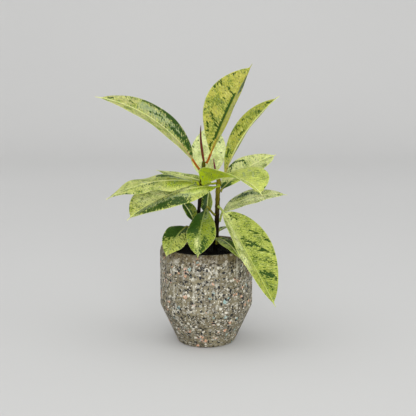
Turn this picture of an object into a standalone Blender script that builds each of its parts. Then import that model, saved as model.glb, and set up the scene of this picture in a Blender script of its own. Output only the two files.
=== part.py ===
"""Young variegated rubber plant in a small fluted pot.

Two stems stand in dark soil. Seventeen leaves, each with its own stalk, and two rolled new leaves
grow from them. The origin is the centre of the pot's underside, +Z is up and -Y is the front.
"""

import math
from dataclasses import dataclass

import bmesh
import bpy
from mathutils import Vector

MM = 0.001
GAP = 0.3 * MM

# The pot is a cast shell. Its cone meets the upright wall at a bend, where the flutes end in arches.
POT_RADIUS = 67 * MM
POT_HEIGHT = 141 * MM
SHOULDER_START = 133 * MM
CREST_RADIUS = 61.5 * MM
POT_WALL = 7.5 * MM
FOOT_RADIUS = 42.5 * MM
FOOT_HEIGHT = 4 * MM
CONE_SPREAD = 0.456
FLOOR_THICKNESS = 10 * MM
FLUTES = 26
FLUTE_DEPTH = 1.2 * MM
WEAK_RIDGE_DROP = 0.35 * MM
RIDGE_PHASE = 12.6
STEPS_PER_FLUTE = 3

# The soil fills the pot to a little under its rim.
SOIL_TOP = 129 * MM
SOIL_LUMP = 1.1 * MM

# Stems are given as (x, y, z, radius) in millimetres, from the bottom of the soil's hole upward.
STEM_SIDES = 12
STEM_FOOT = 95 * MM
STEM_1 = (
    (-16, 2, 95, 2.9),
    (-16, 2, 132, 2.9),
    (-14.5, 2, 150, 2.7),
    (-12.5, 2, 170, 2.6),
    (-9.5, 1, 204, 2.5),
    (-7, 0, 232, 2.6),
    (-4.5, 0, 250, 2.8),
    (-3.5, 0, 262, 2.3),
)
STEM_2 = (
    (13, 8, 95, 3.6),
    (13, 8, 132, 3.6),
    (14, 8, 150, 3.4),
    (15, 8, 173, 3.3),
    (16, 8, 202, 3.2),
    (16.5, 8, 219, 3.2),
    (17.5, 8, 233, 3.1),
    (13, 8, 247, 2.2),
)

# Rolled new leaves, as (x, y, z, radius) in millimetres.
SHEATH_1 = (
    (-3.5, 0, 262.6, 1.4),
    (-5.5, 0, 274, 1.8),
    (-7.5, 1, 290, 1.6),
    (-8, 2, 304, 1.0),
    (-7.5, 2, 313, 0.4),
)
SHEATH_2 = (
    (12.8, 8, 247.6, 1.3),
    (12, 8, 253, 1.3),
    (11, 8, 259, 0.9),
    (10.5, 8, 265, 0.4),
)

# Blades are nearly flat plates with a blunt margin and a keel under the midrib.
BLADE_THICKNESS = 0.9 * MM
MARGIN_THICKNESS = 0.7 * MM
KEEL = 0.5 * MM
TIP_START = 0.955
TIP_WIDTH = 1.4 * MM
END_WIDTH = 0.4 * MM
COLUMNS = (-1.0, -0.5, 0.0, 0.5, 1.0)
STALK_STATIONS = (0.0, 0.33, 0.67)
BLADE_STATIONS = (0.0, 0.03, 0.08, 0.17, 0.28, 0.39, 0.5, 0.61, 0.72, 0.82, 0.9, TIP_START, 1.0)


@dataclass(frozen=True)
class Leaf:
    """One leaf with its stalk. Places are in millimetres and angles in degrees.

    node is the stalk's height on its stem, base is where the blade meets the stalk, and tip is the
    end of the drip tip. widest is the share of the length where the blade is widest, and
    widest_right is the right half's own where it differs. droop is how far the midrib bends down
    between base and tip, and sway how far it bends to the right after bowing to the left. roll
    raises the left half, seen along the blade, and twist adds to it toward the tip. fold raises
    both halves, and unfold takes it back toward the tip. Above 1, settle brings both on sooner.
    left and right scale the halves. wave is the height of the waves along the margin, and waves
    is how many there are. stalk is the stalk's radius, and lift its slope where it leaves the stem.
    """

    name: str
    stem: tuple
    node: float
    base: tuple
    tip: tuple
    width: float
    widest: float = 0.5
    widest_right: float = 0.0
    droop: float = 20
    sway: float = 0
    roll: float = 0
    twist: float = 0
    fold: float = 10
    unfold: float = 0
    settle: float = 1.0
    left: float = 1.0
    right: float = 1.0
    wave: float = 0.6
    waves: float = 2.5
    stalk: float = 1.6
    lift: float = 35
    colour: tuple = (0.35, 0.42, 0.08)

    def midrib(self, s):
        """Return the midrib's place and direction at the share s from base to tip."""
        base = Vector(self.base) * MM
        tip = Vector(self.tip) * MM
        chord = tip - base
        level = Vector((-chord.y, chord.x, 0)).normalized()
        over = chord.cross(level) * math.tan(math.radians(self.droop) / 2)
        aside = level * chord.length * math.tan(math.radians(self.sway) / 2)
        bow = (base + tip + over + aside) / 2
        place = base * (1 - s) ** 2 + bow * 2 * s * (1 - s) + tip * s**2
        along = (bow - base) * (1 - s) + (tip - bow) * s
        return place, along.normalized()

    def settled(self, s):
        """Return how much of the twist and the unfolding is done at the share s."""
        return 1 - (1 - s) ** self.settle

    def axes(self, s):
        """Return the blade's directions along, left and up at the share s."""
        _, along = self.midrib(s)
        roll = math.radians(self.roll + self.twist * self.settled(s))
        level = Vector((-along.y, along.x, 0)).normalized()
        left = level * math.cos(roll) + along.cross(level) * math.sin(roll)
        return along, left, along.cross(left)

    def half_width(self, s, v):
        """Return the half width at the share s, of the left half where v is above 0."""
        body = 0.0
        if s < TIP_START:
            widest = self.widest if v > 0 else self.widest_right or self.widest
            share = (s / TIP_START) ** (math.log(0.5) / math.log(widest))
            body = self.width * MM / 2 * math.sin(math.pi * share) ** 0.72
        drip = 0.0
        if s > 0.5:
            drip = TIP_WIDTH * min(1.0, (1.0 - s) / (1.0 - TIP_START))
        return max(body, drip, END_WIDTH)

    def surface(self, s, v):
        """Return a point of the blade's middle surface and the direction out of it.

        v runs from -1 at the right margin over 0 at the midrib to 1 at the left margin.
        """
        along, left, up = self.axes(s)
        fold = math.radians(self.fold - self.unfold * self.settled(s))
        side = 1.0 if v >= 0 else -1.0
        reach = self.half_width(s, v) * abs(v) * (self.left if v > 0 else self.right)
        phase = math.tau * self.waves * s + (0.0 if v > 0 else 3.1)
        ripple = self.wave * MM * v * v * math.sin(phase) * math.sin(math.pi * s)
        across = left * side * math.cos(fold) + up * math.sin(fold)
        out = up * math.cos(fold) - left * side * math.sin(fold)
        if v == 0:
            out = up
        return self.midrib(s)[0] + across * reach + out * ripple, out

    def blade_ring(self, s):
        """Return the closed section of the blade at the share s, top face first."""
        top = []
        bottom = []
        for v in COLUMNS:
            place, out = self.surface(s, v)
            half = (BLADE_THICKNESS + (MARGIN_THICKNESS - BLADE_THICKNESS) * abs(v)) / 2
            keel = KEEL * (1 - s) if v == 0 else 0.0
            top.append(place + out * half)
            bottom.append(place - out * (half + keel))
        return top + bottom[::-1]

    def root(self):
        """Return where the stalk starts, just clear of the stem, and its first direction."""
        centre, radius = stem_at(self.stem, self.node)
        away = Vector(self.base) * MM - centre
        flat = Vector((away.x, away.y, 0)).normalized()
        lift = math.radians(self.lift)
        start = flat * math.cos(lift) + Vector((0, 0, math.sin(lift)))
        reach = radius + GAP + self.stalk * MM * abs(math.sin(lift))
        return centre + flat * reach, start

    def stalk_ring(self, t):
        """Return a round section of the stalk at the share t of its way to the blade."""
        first, start = self.root()
        last = Vector(self.base) * MM
        along, left, _ = self.axes(0)
        pull = (last - first).length
        place = (
            first * (2 * t**3 - 3 * t**2 + 1)
            + start * pull * (t**3 - 2 * t**2 + t)
            + last * (3 * t**2 - 2 * t**3)
            + along * pull * (t**3 - t**2)
        )
        tangent = (
            first * (6 * t**2 - 6 * t)
            + start * pull * (3 * t**2 - 4 * t + 1)
            + last * (6 * t - 6 * t**2)
            + along * pull * (3 * t**2 - 2 * t)
        ).normalized()
        level = (left - tangent * left.dot(tangent)).normalized()
        rise = tangent.cross(level)
        count = 2 * len(COLUMNS)
        ring = []
        for k in range(count):
            angle = math.radians(180 - 360 * (k + 0.5) / count)
            ring.append(place + (level * math.cos(angle) + rise * math.sin(angle)) * self.stalk * MM)
        return ring

    def rings(self):
        """Return every section of the leaf, from the stalk's root to the drip tip."""
        stalk = [self.stalk_ring(t) for t in STALK_STATIONS]
        neck = [self.stalk_ring(1.0)]
        blade = [self.blade_ring(s) for s in BLADE_STATIONS[1:]]
        return stalk + neck + blade


LEAVES = (
    Leaf("leaf_top_left", STEM_1, 250, (-20, -2, 266), (-153, -15, 355), 51,
         widest=0.43, droop=46, roll=-30, fold=18, lift=45),
    Leaf("leaf_top_middle", STEM_1, 260, (6, -3, 273), (62, -40, 402), 69,
         widest=0.57, widest_right=0.59, droop=6, sway=-8, roll=-20, fold=30, left=0.55, right=1.08,
         lift=55),
    Leaf("leaf_top_right", STEM_2, 239, (26, 6, 243), (100, -25, 357), 37,
         widest=0.55, droop=32, roll=-28, fold=36, lift=40),
    Leaf("leaf_back", STEM_1, 236, (0, 16, 235), (8, 62, 309), 52,
         widest=0.45, droop=20, fold=6, lift=10),
    Leaf("leaf_left_upper", STEM_1, 220, (-14, -9, 234), (-138, -50, 217), 46,
         widest=0.5, widest_right=0.6, droop=40, roll=-26, twist=26, fold=-10, unfold=-8, left=1.15,
         right=1.2, wave=2.5),
    Leaf("leaf_left_front", STEM_2, 227, (16, -11, 228.5), (-109, -54, 189), 66,
         widest=0.56, widest_right=0.74, droop=42, roll=-18, fold=-12, unfold=-32, left=1.15,
         lift=0),
    Leaf("leaf_left_rear", STEM_2, 229, (7, 12, 228), (-73, 50, 241), 36,
         widest=0.4, droop=5, roll=-34, twist=32, fold=3, left=1.2, right=0.5, lift=0),
    Leaf("leaf_right_front", STEM_1, 232, (-3.5, -11, 231), (75, -90, 231), 74,
         widest=0.64, widest_right=0.4, droop=62, sway=20, roll=-27, twist=24, fold=36, unfold=16,
         settle=5, left=1.08, right=1.02, lift=10),
    Leaf("leaf_right_rear", STEM_2, 217, (22, 10, 220), (102, 60, 262), 48,
         widest=0.47, widest_right=0.57, droop=30, roll=20, fold=12, left=0.92, lift=30),
    Leaf("leaf_right_lower", STEM_2, 173, (25, 16, 187), (117, 30, 208), 43,
         widest=0.45, droop=45, roll=14, fold=3, lift=55),
    Leaf("leaf_right_drooping", STEM_2, 196, (24, -10, 191), (95, -85, 74), 76,
         widest=0.44, droop=6, roll=6, fold=40, unfold=12, right=0.95, lift=-10),
    Leaf("leaf_front_hanging", STEM_2, 184, (1, -3, 197), (-12, -76, 140), 42,
         widest=0.66, droop=58, fold=10, left=1.08, right=0.9, wave=2.8, lift=30),
    Leaf("leaf_rim_left", STEM_1, 150, (-29, -12, 170), (-56, -50, 136), 42,
         widest=0.45, droop=40, roll=-20, fold=10, right=0.86, wave=2.0, lift=45),
    Leaf("leaf_rim_right", STEM_2, 142, (15, 0, 151), (47, -62, 136), 24,
         widest=0.45, droop=40, roll=10, fold=15, left=0.6, stalk=1.3, lift=45),
    Leaf("leaf_inner_left", STEM_1, 166, (-18, -5, 178), (-36, 0, 206), 26,
         widest=0.45, droop=20, roll=-30, fold=25, right=0.9, stalk=1.2, wave=0.3, lift=45),
    Leaf("leaf_inner_middle", STEM_2, 170, (1, 13, 185), (4, 18, 217), 23,
         widest=0.45, droop=10, fold=25, stalk=1.2, wave=0.3, lift=30),
    Leaf("leaf_inner_right", STEM_2, 154, (18, 15, 158), (31, 36, 160), 11,
         widest=0.45, droop=20, fold=10, stalk=1.2, wave=0.3, lift=30),
)


def stem_at(stem, height):
    """Return a stem's centre and radius at a height in millimetres."""
    for low, high in zip(stem, stem[1:]):
        if low[2] <= height <= high[2]:
            share = (height - low[2]) / (high[2] - low[2])
            mixed = [a + (b - a) * share for a, b in zip(low, high)]
            return Vector(mixed[:3]) * MM, mixed[3] * MM
    raise ValueError(f"height {height} is off the stem")


def add_solid(name, rings, colour, roughness):
    """Make one closed solid from rings of points. A ring of one point is a pole.

    The two halves of a ring are split into triangles alike, so a thin blade has the same creases on
    both faces.
    """
    shape = bmesh.new()
    rows = [[shape.verts.new(point) for point in ring] for ring in rings]
    for low, high in zip(rows, rows[1:]):
        count = max(len(low), len(high))
        for k in range(count):
            after = (k + 1) % count
            if len(low) == 1:
                shape.faces.new((low[0], high[after], high[k]))
            elif len(high) == 1:
                shape.faces.new((low[k], low[after], high[0]))
            elif 2 * k < count:
                shape.faces.new((low[k], low[after], high[after]))
                shape.faces.new((low[k], high[after], high[k]))
            else:
                shape.faces.new((low[k], low[after], high[k]))
                shape.faces.new((low[after], high[after], high[k]))
    if len(rows[0]) > 1:
        shape.faces.new(rows[0][::-1])
    if len(rows[-1]) > 1:
        shape.faces.new(rows[-1])
    if shape.calc_volume(signed=True) < 0:
        bmesh.ops.reverse_faces(shape, faces=shape.faces)
    mesh = bpy.data.meshes.new(name)
    shape.to_mesh(mesh)
    shape.free()
    solid = bpy.data.objects.new(name, mesh)
    bpy.context.scene.collection.objects.link(solid)
    mesh.shade_smooth()
    mesh.set_sharp_from_angle(angle=math.radians(35))
    paint(solid, colour, roughness)
    return solid


def paint(solid, colour, roughness):
    """Give a solid its own Principled material."""
    material = bpy.data.materials.new(solid.name)
    material.use_nodes = True
    shader = material.node_tree.nodes["Principled BSDF"]
    shader.inputs["Base Color"].default_value = (*colour, 1.0)
    shader.inputs["Roughness"].default_value = roughness
    shader.inputs["Metallic"].default_value = 0.0
    solid.data.materials.append(material)


def turn(angle, radius, height):
    """Return the point at an angle from the front toward +X, a radius and a height."""
    return Vector((math.sin(angle) * radius, -math.cos(angle) * radius, height))


def flute_depth(angle):
    """Return how deep the wall is cut in at an angle, 0 on a strong ridge."""
    place = (math.degrees(angle) - RIDGE_PHASE) / (360 / FLUTES)
    low = math.floor(place + 1e-6)
    share = place - low
    here = WEAK_RIDGE_DROP if low % 2 else 0.0
    there = 0.0 if low % 2 else WEAK_RIDGE_DROP
    ridge = here + (there - here) * share
    return ridge + FLUTE_DEPTH * (1 - (2 * share - 1) ** 2)


def outer_radius(angle, height):
    """Return the pot's outside radius, the smaller of the cone and the fluted wall."""
    cone = FOOT_RADIUS + (height - FOOT_HEIGHT) * CONE_SPREAD
    return min(cone, POT_RADIUS - flute_depth(angle))


def add_pot():
    """Make the pot's shell, open at the top."""
    count = FLUTES * STEPS_PER_FLUTE
    angles = [math.radians(RIDGE_PHASE + 360 * k / count) for k in range(count)]
    rings = [[turn(a, FOOT_RADIUS - 4.5 * MM, 0) for a in angles]]
    rings.append([turn(a, FOOT_RADIUS - 1.3 * MM, 1.3 * MM) for a in angles])
    for height in (4, 30, 54.5, 56.5, 58.2, 133):
        rings.append([turn(a, outer_radius(a, height * MM), height * MM) for a in angles])
    shoulder = POT_RADIUS - CREST_RADIUS
    rise = POT_HEIGHT - SHOULDER_START
    for slope, flute in ((30, 0.8), (55, 0.4), (90, 0.0)):
        across = math.cos(math.radians(slope)) * shoulder
        height = SHOULDER_START + math.sin(math.radians(slope)) * rise
        rings.append([turn(a, CREST_RADIUS + across - flute_depth(a) * flute, height) for a in angles])
    inner = POT_RADIUS - POT_WALL
    rings.append([turn(a, inner + 0.5 * MM, POT_HEIGHT - 0.6 * MM) for a in angles])
    for radius, height in ((59.5, 138.8), (59.5, 56), (52, 40), (40, 14)):
        rings.append([turn(a, radius * MM, height * MM) for a in angles])
    rings.append([Vector((0, 0, FLOOR_THICKNESS))])
    rings.insert(0, [Vector((0, 0, 0))])
    return add_solid("pot", rings, (0.26, 0.23, 0.17), 0.75)


def soil_height(x, y):
    """Return the height of the soil's uneven top."""
    lumps = math.sin(x / (9 * MM) + 0.7) * math.cos(y / (11 * MM)) + 0.6 * math.sin((x + 2 * y) / (13 * MM))
    return SOIL_TOP + SOIL_LUMP * lumps


def add_soil():
    """Make the soil with a plain round hole for each stem."""
    count = 39
    angles = [math.radians(RIDGE_PHASE + 360 * k / count) for k in range(count)]
    rings = [[Vector((0, 0, FLOOR_THICKNESS + 0.4 * MM))]]
    for radius, height in ((39.6, 14.4), (51.6, 40.3), (59.2, 56.3)):
        rings.append([turn(a, radius * MM, height * MM) for a in angles])
    for radius in (59.2, 46, 32, 17):
        ring = [turn(a, radius * MM, 0) for a in angles]
        rings.append([Vector((p.x, p.y, soil_height(p.x, p.y))) for p in ring])
    rings.append([Vector((0, 0, soil_height(0, 0)))])
    soil = add_solid("soil", rings, (0.012, 0.009, 0.007), 0.95)
    for number, stem in enumerate((STEM_1, STEM_2), 1):
        x, y, _, radius = stem[0]
        bottom = STEM_FOOT - GAP
        reach = radius * MM + GAP
        hole = [[turn(math.tau * k / STEM_SIDES, reach, z) for k in range(STEM_SIDES)]
                for z in (bottom, SOIL_TOP + 10 * MM)]
        hole = [[p + Vector((x * MM, y * MM, 0)) for p in ring] for ring in hole]
        cutter = add_solid(f"stem_hole_{number}", hole, (0.5, 0.5, 0.5), 0.5)
        cutter.hide_render = True
        cutter.display_type = "WIRE"
        cut = soil.modifiers.new(f"Hole {number}", "BOOLEAN")
        cut.operation = "DIFFERENCE"
        cut.object = cutter
    return soil


def add_tube(name, points, sides, colour, roughness):
    """Make a round tube along points with a radius each."""
    centres = [Vector(point[:3]) * MM for point in points]
    rings = []
    for index, point in enumerate(points):
        low = centres[max(index - 1, 0)]
        high = centres[min(index + 1, len(centres) - 1)]
        along = Vector((0, 0, 1)) if index < 2 and sides == STEM_SIDES else (high - low).normalized()
        level = (Vector((0, -1, 0)) + along * along.y).normalized()
        side = level.cross(along)
        ring = []
        for k in range(sides):
            angle = math.tau * k / sides
            ring.append(centres[index] + (level * math.cos(angle) - side * math.sin(angle)) * point[3] * MM)
        rings.append(ring)
    return add_solid(name, rings, colour, roughness)


def main():
    """Build the whole plant."""
    for leftover in list(bpy.data.objects):
        bpy.data.objects.remove(leftover)
    add_pot()
    add_soil()
    add_tube("stem_1", STEM_1, STEM_SIDES, (0.10, 0.09, 0.02), 0.6)
    add_tube("stem_2", STEM_2, STEM_SIDES, (0.12, 0.11, 0.02), 0.6)
    add_tube("sheath_1", SHEATH_1, 8, (0.15, 0.03, 0.01), 0.35)
    add_tube("sheath_2", SHEATH_2, 8, (0.10, 0.02, 0.02), 0.35)
    for leaf in LEAVES:
        add_solid(leaf.name, leaf.rings(), leaf.colour, 0.4)


if __name__ == "__main__":
    main()
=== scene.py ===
"""Looks of a young variegated rubber plant in a small fluted terrazzo pot.

The plant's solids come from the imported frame. Finer pieces stand for the pot, the stems, the rolled new
leaves and the seventeen leaves, and keep their form. The soil's solid stays, and crumbs lie on it.
"""

import logging
import math
from collections.abc import Sequence
from dataclasses import dataclass
from enum import Enum
from functools import partial
from typing import Any

import bmesh
import bpy
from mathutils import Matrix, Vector

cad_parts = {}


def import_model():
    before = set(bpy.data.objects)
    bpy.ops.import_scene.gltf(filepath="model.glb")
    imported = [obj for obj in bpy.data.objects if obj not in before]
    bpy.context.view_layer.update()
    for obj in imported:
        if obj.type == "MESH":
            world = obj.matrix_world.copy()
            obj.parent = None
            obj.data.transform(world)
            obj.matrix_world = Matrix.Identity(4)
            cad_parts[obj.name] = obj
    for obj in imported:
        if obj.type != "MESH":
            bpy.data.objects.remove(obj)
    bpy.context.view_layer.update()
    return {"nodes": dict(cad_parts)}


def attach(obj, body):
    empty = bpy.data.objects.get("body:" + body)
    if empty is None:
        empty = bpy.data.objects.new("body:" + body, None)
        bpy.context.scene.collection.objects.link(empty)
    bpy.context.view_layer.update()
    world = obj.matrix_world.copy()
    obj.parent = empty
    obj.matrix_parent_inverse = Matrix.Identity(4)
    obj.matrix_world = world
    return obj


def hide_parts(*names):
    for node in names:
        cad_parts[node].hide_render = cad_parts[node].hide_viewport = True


MM = 0.001
BODY = "root"

# Settings that many nodes share
COLOUR = {"data_type": "RGBA"}
EASED = {"interpolation_type": "SMOOTHSTEP"}

Socket = bpy.types.NodeSocket
Place = tuple[float, float, float]
Spot = tuple[float, float]

log = logging.getLogger("plant")


def linear(colour: str, alpha: float = 1.0) -> tuple[float, float, float, float]:
    """Turn an sRGB hex colour into linear light.

    Args:
        colour: the colour as six hex digits, with or without a leading #.
        alpha: the fourth value.

    Returns:
        Red, green and blue in linear light, and alpha.
    """
    digits = colour.lstrip("#")
    shares = [int(digits[k : k + 2], 16) / 255 for k in (0, 2, 4)]
    parts = [c / 12.92 if c <= 0.04045 else ((c + 0.055) / 1.055) ** 2.4 for c in shares]
    return parts[0], parts[1], parts[2], alpha


def mixed(first: Sequence[float], second: Sequence[float], share: float) -> tuple[float, ...]:
    """Return the values a share of the way from the first to the second."""
    return tuple(a + (b - a) * share for a, b in zip(first, second))


def smooth(value: float) -> float:
    """Return a smooth step from 0 at 0 to 1 at 1."""
    value = min(1.0, max(0.0, value))
    return value * value * (3 - 2 * value)


def new_piece(name: str, mesh: bpy.types.Mesh) -> bpy.types.Object:
    """Put a mesh in the scene as an object at the origin."""
    piece = bpy.data.objects.new(name, mesh)
    bpy.context.scene.collection.objects.link(piece)
    return piece


def to_mesh(name: str, shape: bmesh.types.BMesh) -> bpy.types.Mesh:
    """Turn a shape into a mesh and free the shape."""
    mesh = bpy.data.meshes.new(name)
    shape.to_mesh(mesh)
    shape.free()
    return mesh


def loft(name: str, rings: Sequence[Sequence[Vector]]) -> bpy.types.Mesh:
    """Join rings of points into one smooth, closed skin. A ring of one point is a pole.

    Args:
        name: the mesh's name.
        rings: the rings, each with as many points as the next, or one.

    Returns:
        The mesh, with its faces outwards and its points in the rings' order.
    """
    shape = bmesh.new()
    rows = [[shape.verts.new(point) for point in ring] for ring in rings]
    for low, high in zip(rows, rows[1:]):
        count = max(len(low), len(high))
        for k in range(count):
            after = (k + 1) % count
            if len(low) == 1:
                shape.faces.new((low[0], high[after], high[k]))
            elif len(high) == 1:
                shape.faces.new((low[k], low[after], high[0]))
            else:
                shape.faces.new((low[k], low[after], high[after], high[k]))
    if len(rows[0]) > 1:
        shape.faces.new(rows[0][::-1])
    if len(rows[-1]) > 1:
        shape.faces.new(rows[-1])
    if shape.calc_volume(signed=True) < 0:
        bmesh.ops.reverse_faces(shape, faces=shape.faces)
    mesh = to_mesh(name, shape)
    mesh.shade_smooth()
    return mesh


def store(mesh: bpy.types.Mesh, name: str, kind: str, values: Sequence[Sequence[float]]) -> None:
    """Store values at a mesh's points.

    Args:
        mesh: the mesh.
        name: the attribute's name.
        kind: FLOAT, FLOAT_VECTOR or FLOAT_COLOR.
        values: one row of numbers for each point.
    """
    field = {"FLOAT": "value", "FLOAT_VECTOR": "vector", "FLOAT_COLOR": "color"}[kind]
    attribute = mesh.attributes.new(name, kind, "POINT")
    attribute.data.foreach_set(field, [number for row in values for number in row])


class Nodes:
    """A node tree that one method fills."""

    def __init__(self, tree: bpy.types.NodeTree) -> None:
        """Start with the tree empty.

        Args:
            tree: the tree.
        """
        self.tree = tree
        tree.nodes.clear()

    def add(self, kind: str, *values: Any, out: str | int = 0, **named: Any) -> Socket | None:
        """Add a node with its settings and links.

        Args:
            kind: the node's type, without ShaderNode where it begins with that.
            values: values or sockets for the first inputs that the node shows once it is set.
            out: the output that the caller goes on with, by name or by place among those it shows.
            named: settings, with names in small letters, and values or sockets for inputs, by their
                identifiers with _ for a space.

        Returns:
            That output's socket, or None where the node has no outputs.
        """
        node = self.tree.nodes.new(kind if "Node" in kind else f"ShaderNode{kind}")
        inputs: dict[str | int, Any] = dict(enumerate(values))
        for name, value in named.items():
            if name.islower():
                setattr(node, name, value)
            else:
                inputs[name] = value
        for key, value in inputs.items():
            sockets = {socket.identifier.replace(" ", "_"): socket for socket in node.inputs}
            shown = [socket for socket in node.inputs if socket.enabled]
            socket = shown[key] if isinstance(key, int) else sockets[key]
            if isinstance(value, Socket):
                self.tree.links.new(value, socket)
            else:
                socket.default_value = value
        if isinstance(out, str):
            return node.outputs[out]
        results = [socket for socket in node.outputs if socket.enabled]
        return results[out] if results else None


class Finish(Nodes):
    """A material's nodes, which end in a Principled shader."""

    def __init__(self, name: str) -> None:
        """Start the material.

        Args:
            name: the name of the real material.
        """
        self.material = bpy.data.materials.new(name)
        self.material.use_nodes = True
        super().__init__(self.material.node_tree)

    def close(self, **inputs: Any) -> bpy.types.Material:
        """End the tree in the shader.

        Args:
            inputs: values or sockets for the shader's inputs, by their identifiers with _ for a space.

        Returns:
            The material.
        """
        self.add("OutputMaterial", Surface=self.add("BsdfPrincipled", **inputs))
        return self.material


class Work(Nodes):
    """A geometry node tree that is run once on a piece and then left as plain mesh."""

    def __init__(self, name: str) -> None:
        """Start the tree with its mesh input and output.

        Args:
            name: what the tree does.
        """
        super().__init__(bpy.data.node_groups.new(name, "GeometryNodeTree"))
        for way in ("INPUT", "OUTPUT"):
            self.tree.interface.new_socket("Geometry", in_out=way, socket_type="NodeSocketGeometry")
        self.values: dict[str, Any] = {}
        self.sources = self.tree.nodes.new("NodeGroupInput")

    def size(self, name: str, value: Any, kind: str = "NodeSocketFloat") -> Socket:
        """Add a named input to the tree.

        Args:
            name: the input's name.
            value: the value that the piece gives it.
            kind: the socket's type.

        Returns:
            The socket inside the tree.
        """
        socket = self.tree.interface.new_socket(name, in_out="INPUT", socket_type=kind)
        self.values[socket.identifier] = value
        return self.sources.outputs[name]

    def run(self, piece: bpy.types.Object, geometry: Socket) -> None:
        """End the tree, run it on a piece and keep the result as the piece's mesh.

        Args:
            piece: the object that the tree changes.
            geometry: the tree's last geometry.
        """
        self.add("NodeGroupOutput", geometry)
        modifier = piece.modifiers.new(self.tree.name, "NODES")
        modifier.node_group = self.tree
        for identifier, value in self.values.items():
            modifier[identifier] = value
        graph = bpy.context.evaluated_depsgraph_get()
        mesh = bpy.data.meshes.new_from_object(
            piece.evaluated_get(graph), preserve_all_data_layers=True, depsgraph=graph
        )
        piece.modifiers.clear()
        piece.data = mesh


@dataclass(frozen=True)
class Terrazzo:
    """Cast terrazzo: grey-brown cement with stone chips ground flush, matt and a little worn.

    Chips are 3.5 and 5.6 mm across, and the finest specks are drawn at 1.9 mm because smaller ones would
    not show. The cement's clouds are about 17 mm across, its worn patches 7 mm and its pores 1 mm.
    """

    cement: str = "#7F775C"
    cement_dark: str = "#665E4A"
    black: str = "#0B0C0D"
    white: str = "#C9C5B6"
    grey: str = "#97958A"
    teal: str = "#8CA8A4"
    peach: str = "#C79A7C"
    worn: str = "#BDBAAA"
    rim_brown: str = "#4C3C10"
    large_chip: float = 5.6 * MM
    chip: float = 3.5 * MM
    speck: float = 1.9 * MM
    raggedness: float = 2.8 * MM
    darkest_height: float = 137.5 * MM
    rim_height: float = 120 * MM
    clouds_per_metre: float = 60.0
    patches_per_metre: float = 150.0
    pores_per_metre: float = 900.0

    def material(self) -> bpy.types.Material:
        """Return the material, whose chips are cells of three Voronoi patterns."""
        finish = Finish("cast_terrazzo")
        add = finish.add
        place = add("TexCoord", out="Object")
        wobble = add("TexNoise", place, Scale=0.6 / self.chip, Detail=2.0, out="Color")
        bend = add("VectorMath", wobble, (0.5, 0.5, 0.5), operation="SUBTRACT")
        bent = add("VectorMath", bend, (self.raggedness,) * 3, place, operation="MULTIPLY_ADD")
        cloud = add("TexNoise", place, Scale=self.clouds_per_metre, Detail=4.0)
        cloudy = add("MapRange", cloud, 0.35, 0.65)
        colour = add("Mix", cloudy, linear(self.cement_dark), linear(self.cement), **COLOUR)
        relief: Socket | float = 0.0
        # Size, share of cells without a chip, how far a chip keeps off its cell's edge, and tones
        layers = (
            (self.large_chip, 0.86, 0.12, (self.teal, self.peach, self.worn, self.peach)),
            (self.speck, 0.62, 0.05, (self.black, self.grey, self.black, self.grey, self.white)),
            (self.chip, 0.78, 0.08, (self.black, self.black, self.grey, self.black, self.white)),
        )
        for size, rarity, inset, tones in layers:
            cell = add("TexVoronoi", bent, Scale=1 / size, feature="F1", out="Color")
            edge = add("TexVoronoi", bent, Scale=1 / size, feature="DISTANCE_TO_EDGE")
            chance, choice, shrink = (add("SeparateColor", cell, out=k) for k in range(3))
            line = add("Math", shrink, inset, inset / 2, operation="MULTIPLY_ADD")
            inside = add("Math", edge, line, operation="GREATER_THAN")
            picked = add("Math", chance, rarity, operation="GREATER_THAN")
            chip = add("Math", inside, picked, operation="MULTIPLY")
            stone: Any = linear(tones[0])
            for step, tone in enumerate(tones[1:], 1):
                later = add("Math", choice, step / len(tones), operation="GREATER_THAN")
                stone = add("Mix", later, stone, linear(tone), **COLOUR)
            colour = add("Mix", chip, colour, stone, **COLOUR)
            relief = add("Math", relief, chip, operation="MAXIMUM")
        ridge = add("Attribute", attribute_name="ridge", out="Fac")
        patchy = add("TexNoise", place, Scale=self.patches_per_metre, Detail=3.0)
        rubbed = add("MapRange", patchy, 0.44, 0.56, To_Max=0.78, **EASED)
        wear = add("Math", ridge, rubbed, operation="MULTIPLY")
        colour = add("Mix", wear, colour, linear(self.worn), **COLOUR)
        # The inside of the wall and the band below the rim turn darker and browner
        colour = add("Mix", self.darkening(finish, place), colour, linear(self.rim_brown), **COLOUR)
        roughness = add("MapRange", patchy, To_Min=0.48, To_Max=0.72)
        pores = add("TexNoise", place, Scale=self.pores_per_metre, Detail=2.0)
        height = add("Math", pores, 0.7, relief, operation="MULTIPLY_ADD")
        bump = add("Bump", Strength=0.35, Distance=0.15 * MM, Height=height)
        return finish.close(Base_Color=colour, Roughness=roughness, Normal=bump, IOR=1.5)

    def darkening(self, finish: Finish, place: Socket) -> Socket:
        """Return how far the inside of the wall and the band below the rim are darkened and browned.

        Args:
            finish: the material's nodes.
            place: the object coordinates.

        Returns:
            The share of the stain.
        """
        add = finish.add
        wall = add("Attribute", attribute_name="wall", out="Fac")
        within = add("MapRange", wall, -0.3, -0.9, To_Max=0.85)
        level = add("SeparateXYZ", place, out=2)
        low = add("MapRange", level, self.darkest_height + 3 * MM, self.darkest_height, To_Min=0.35, To_Max=1.0)
        inner = add("Math", within, low, operation="MULTIPLY")
        rim = add("MapRange", level, self.rim_height, self.darkest_height, To_Max=0.62, **EASED)
        return add("Math", inner, rim, operation="MAXIMUM")


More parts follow.
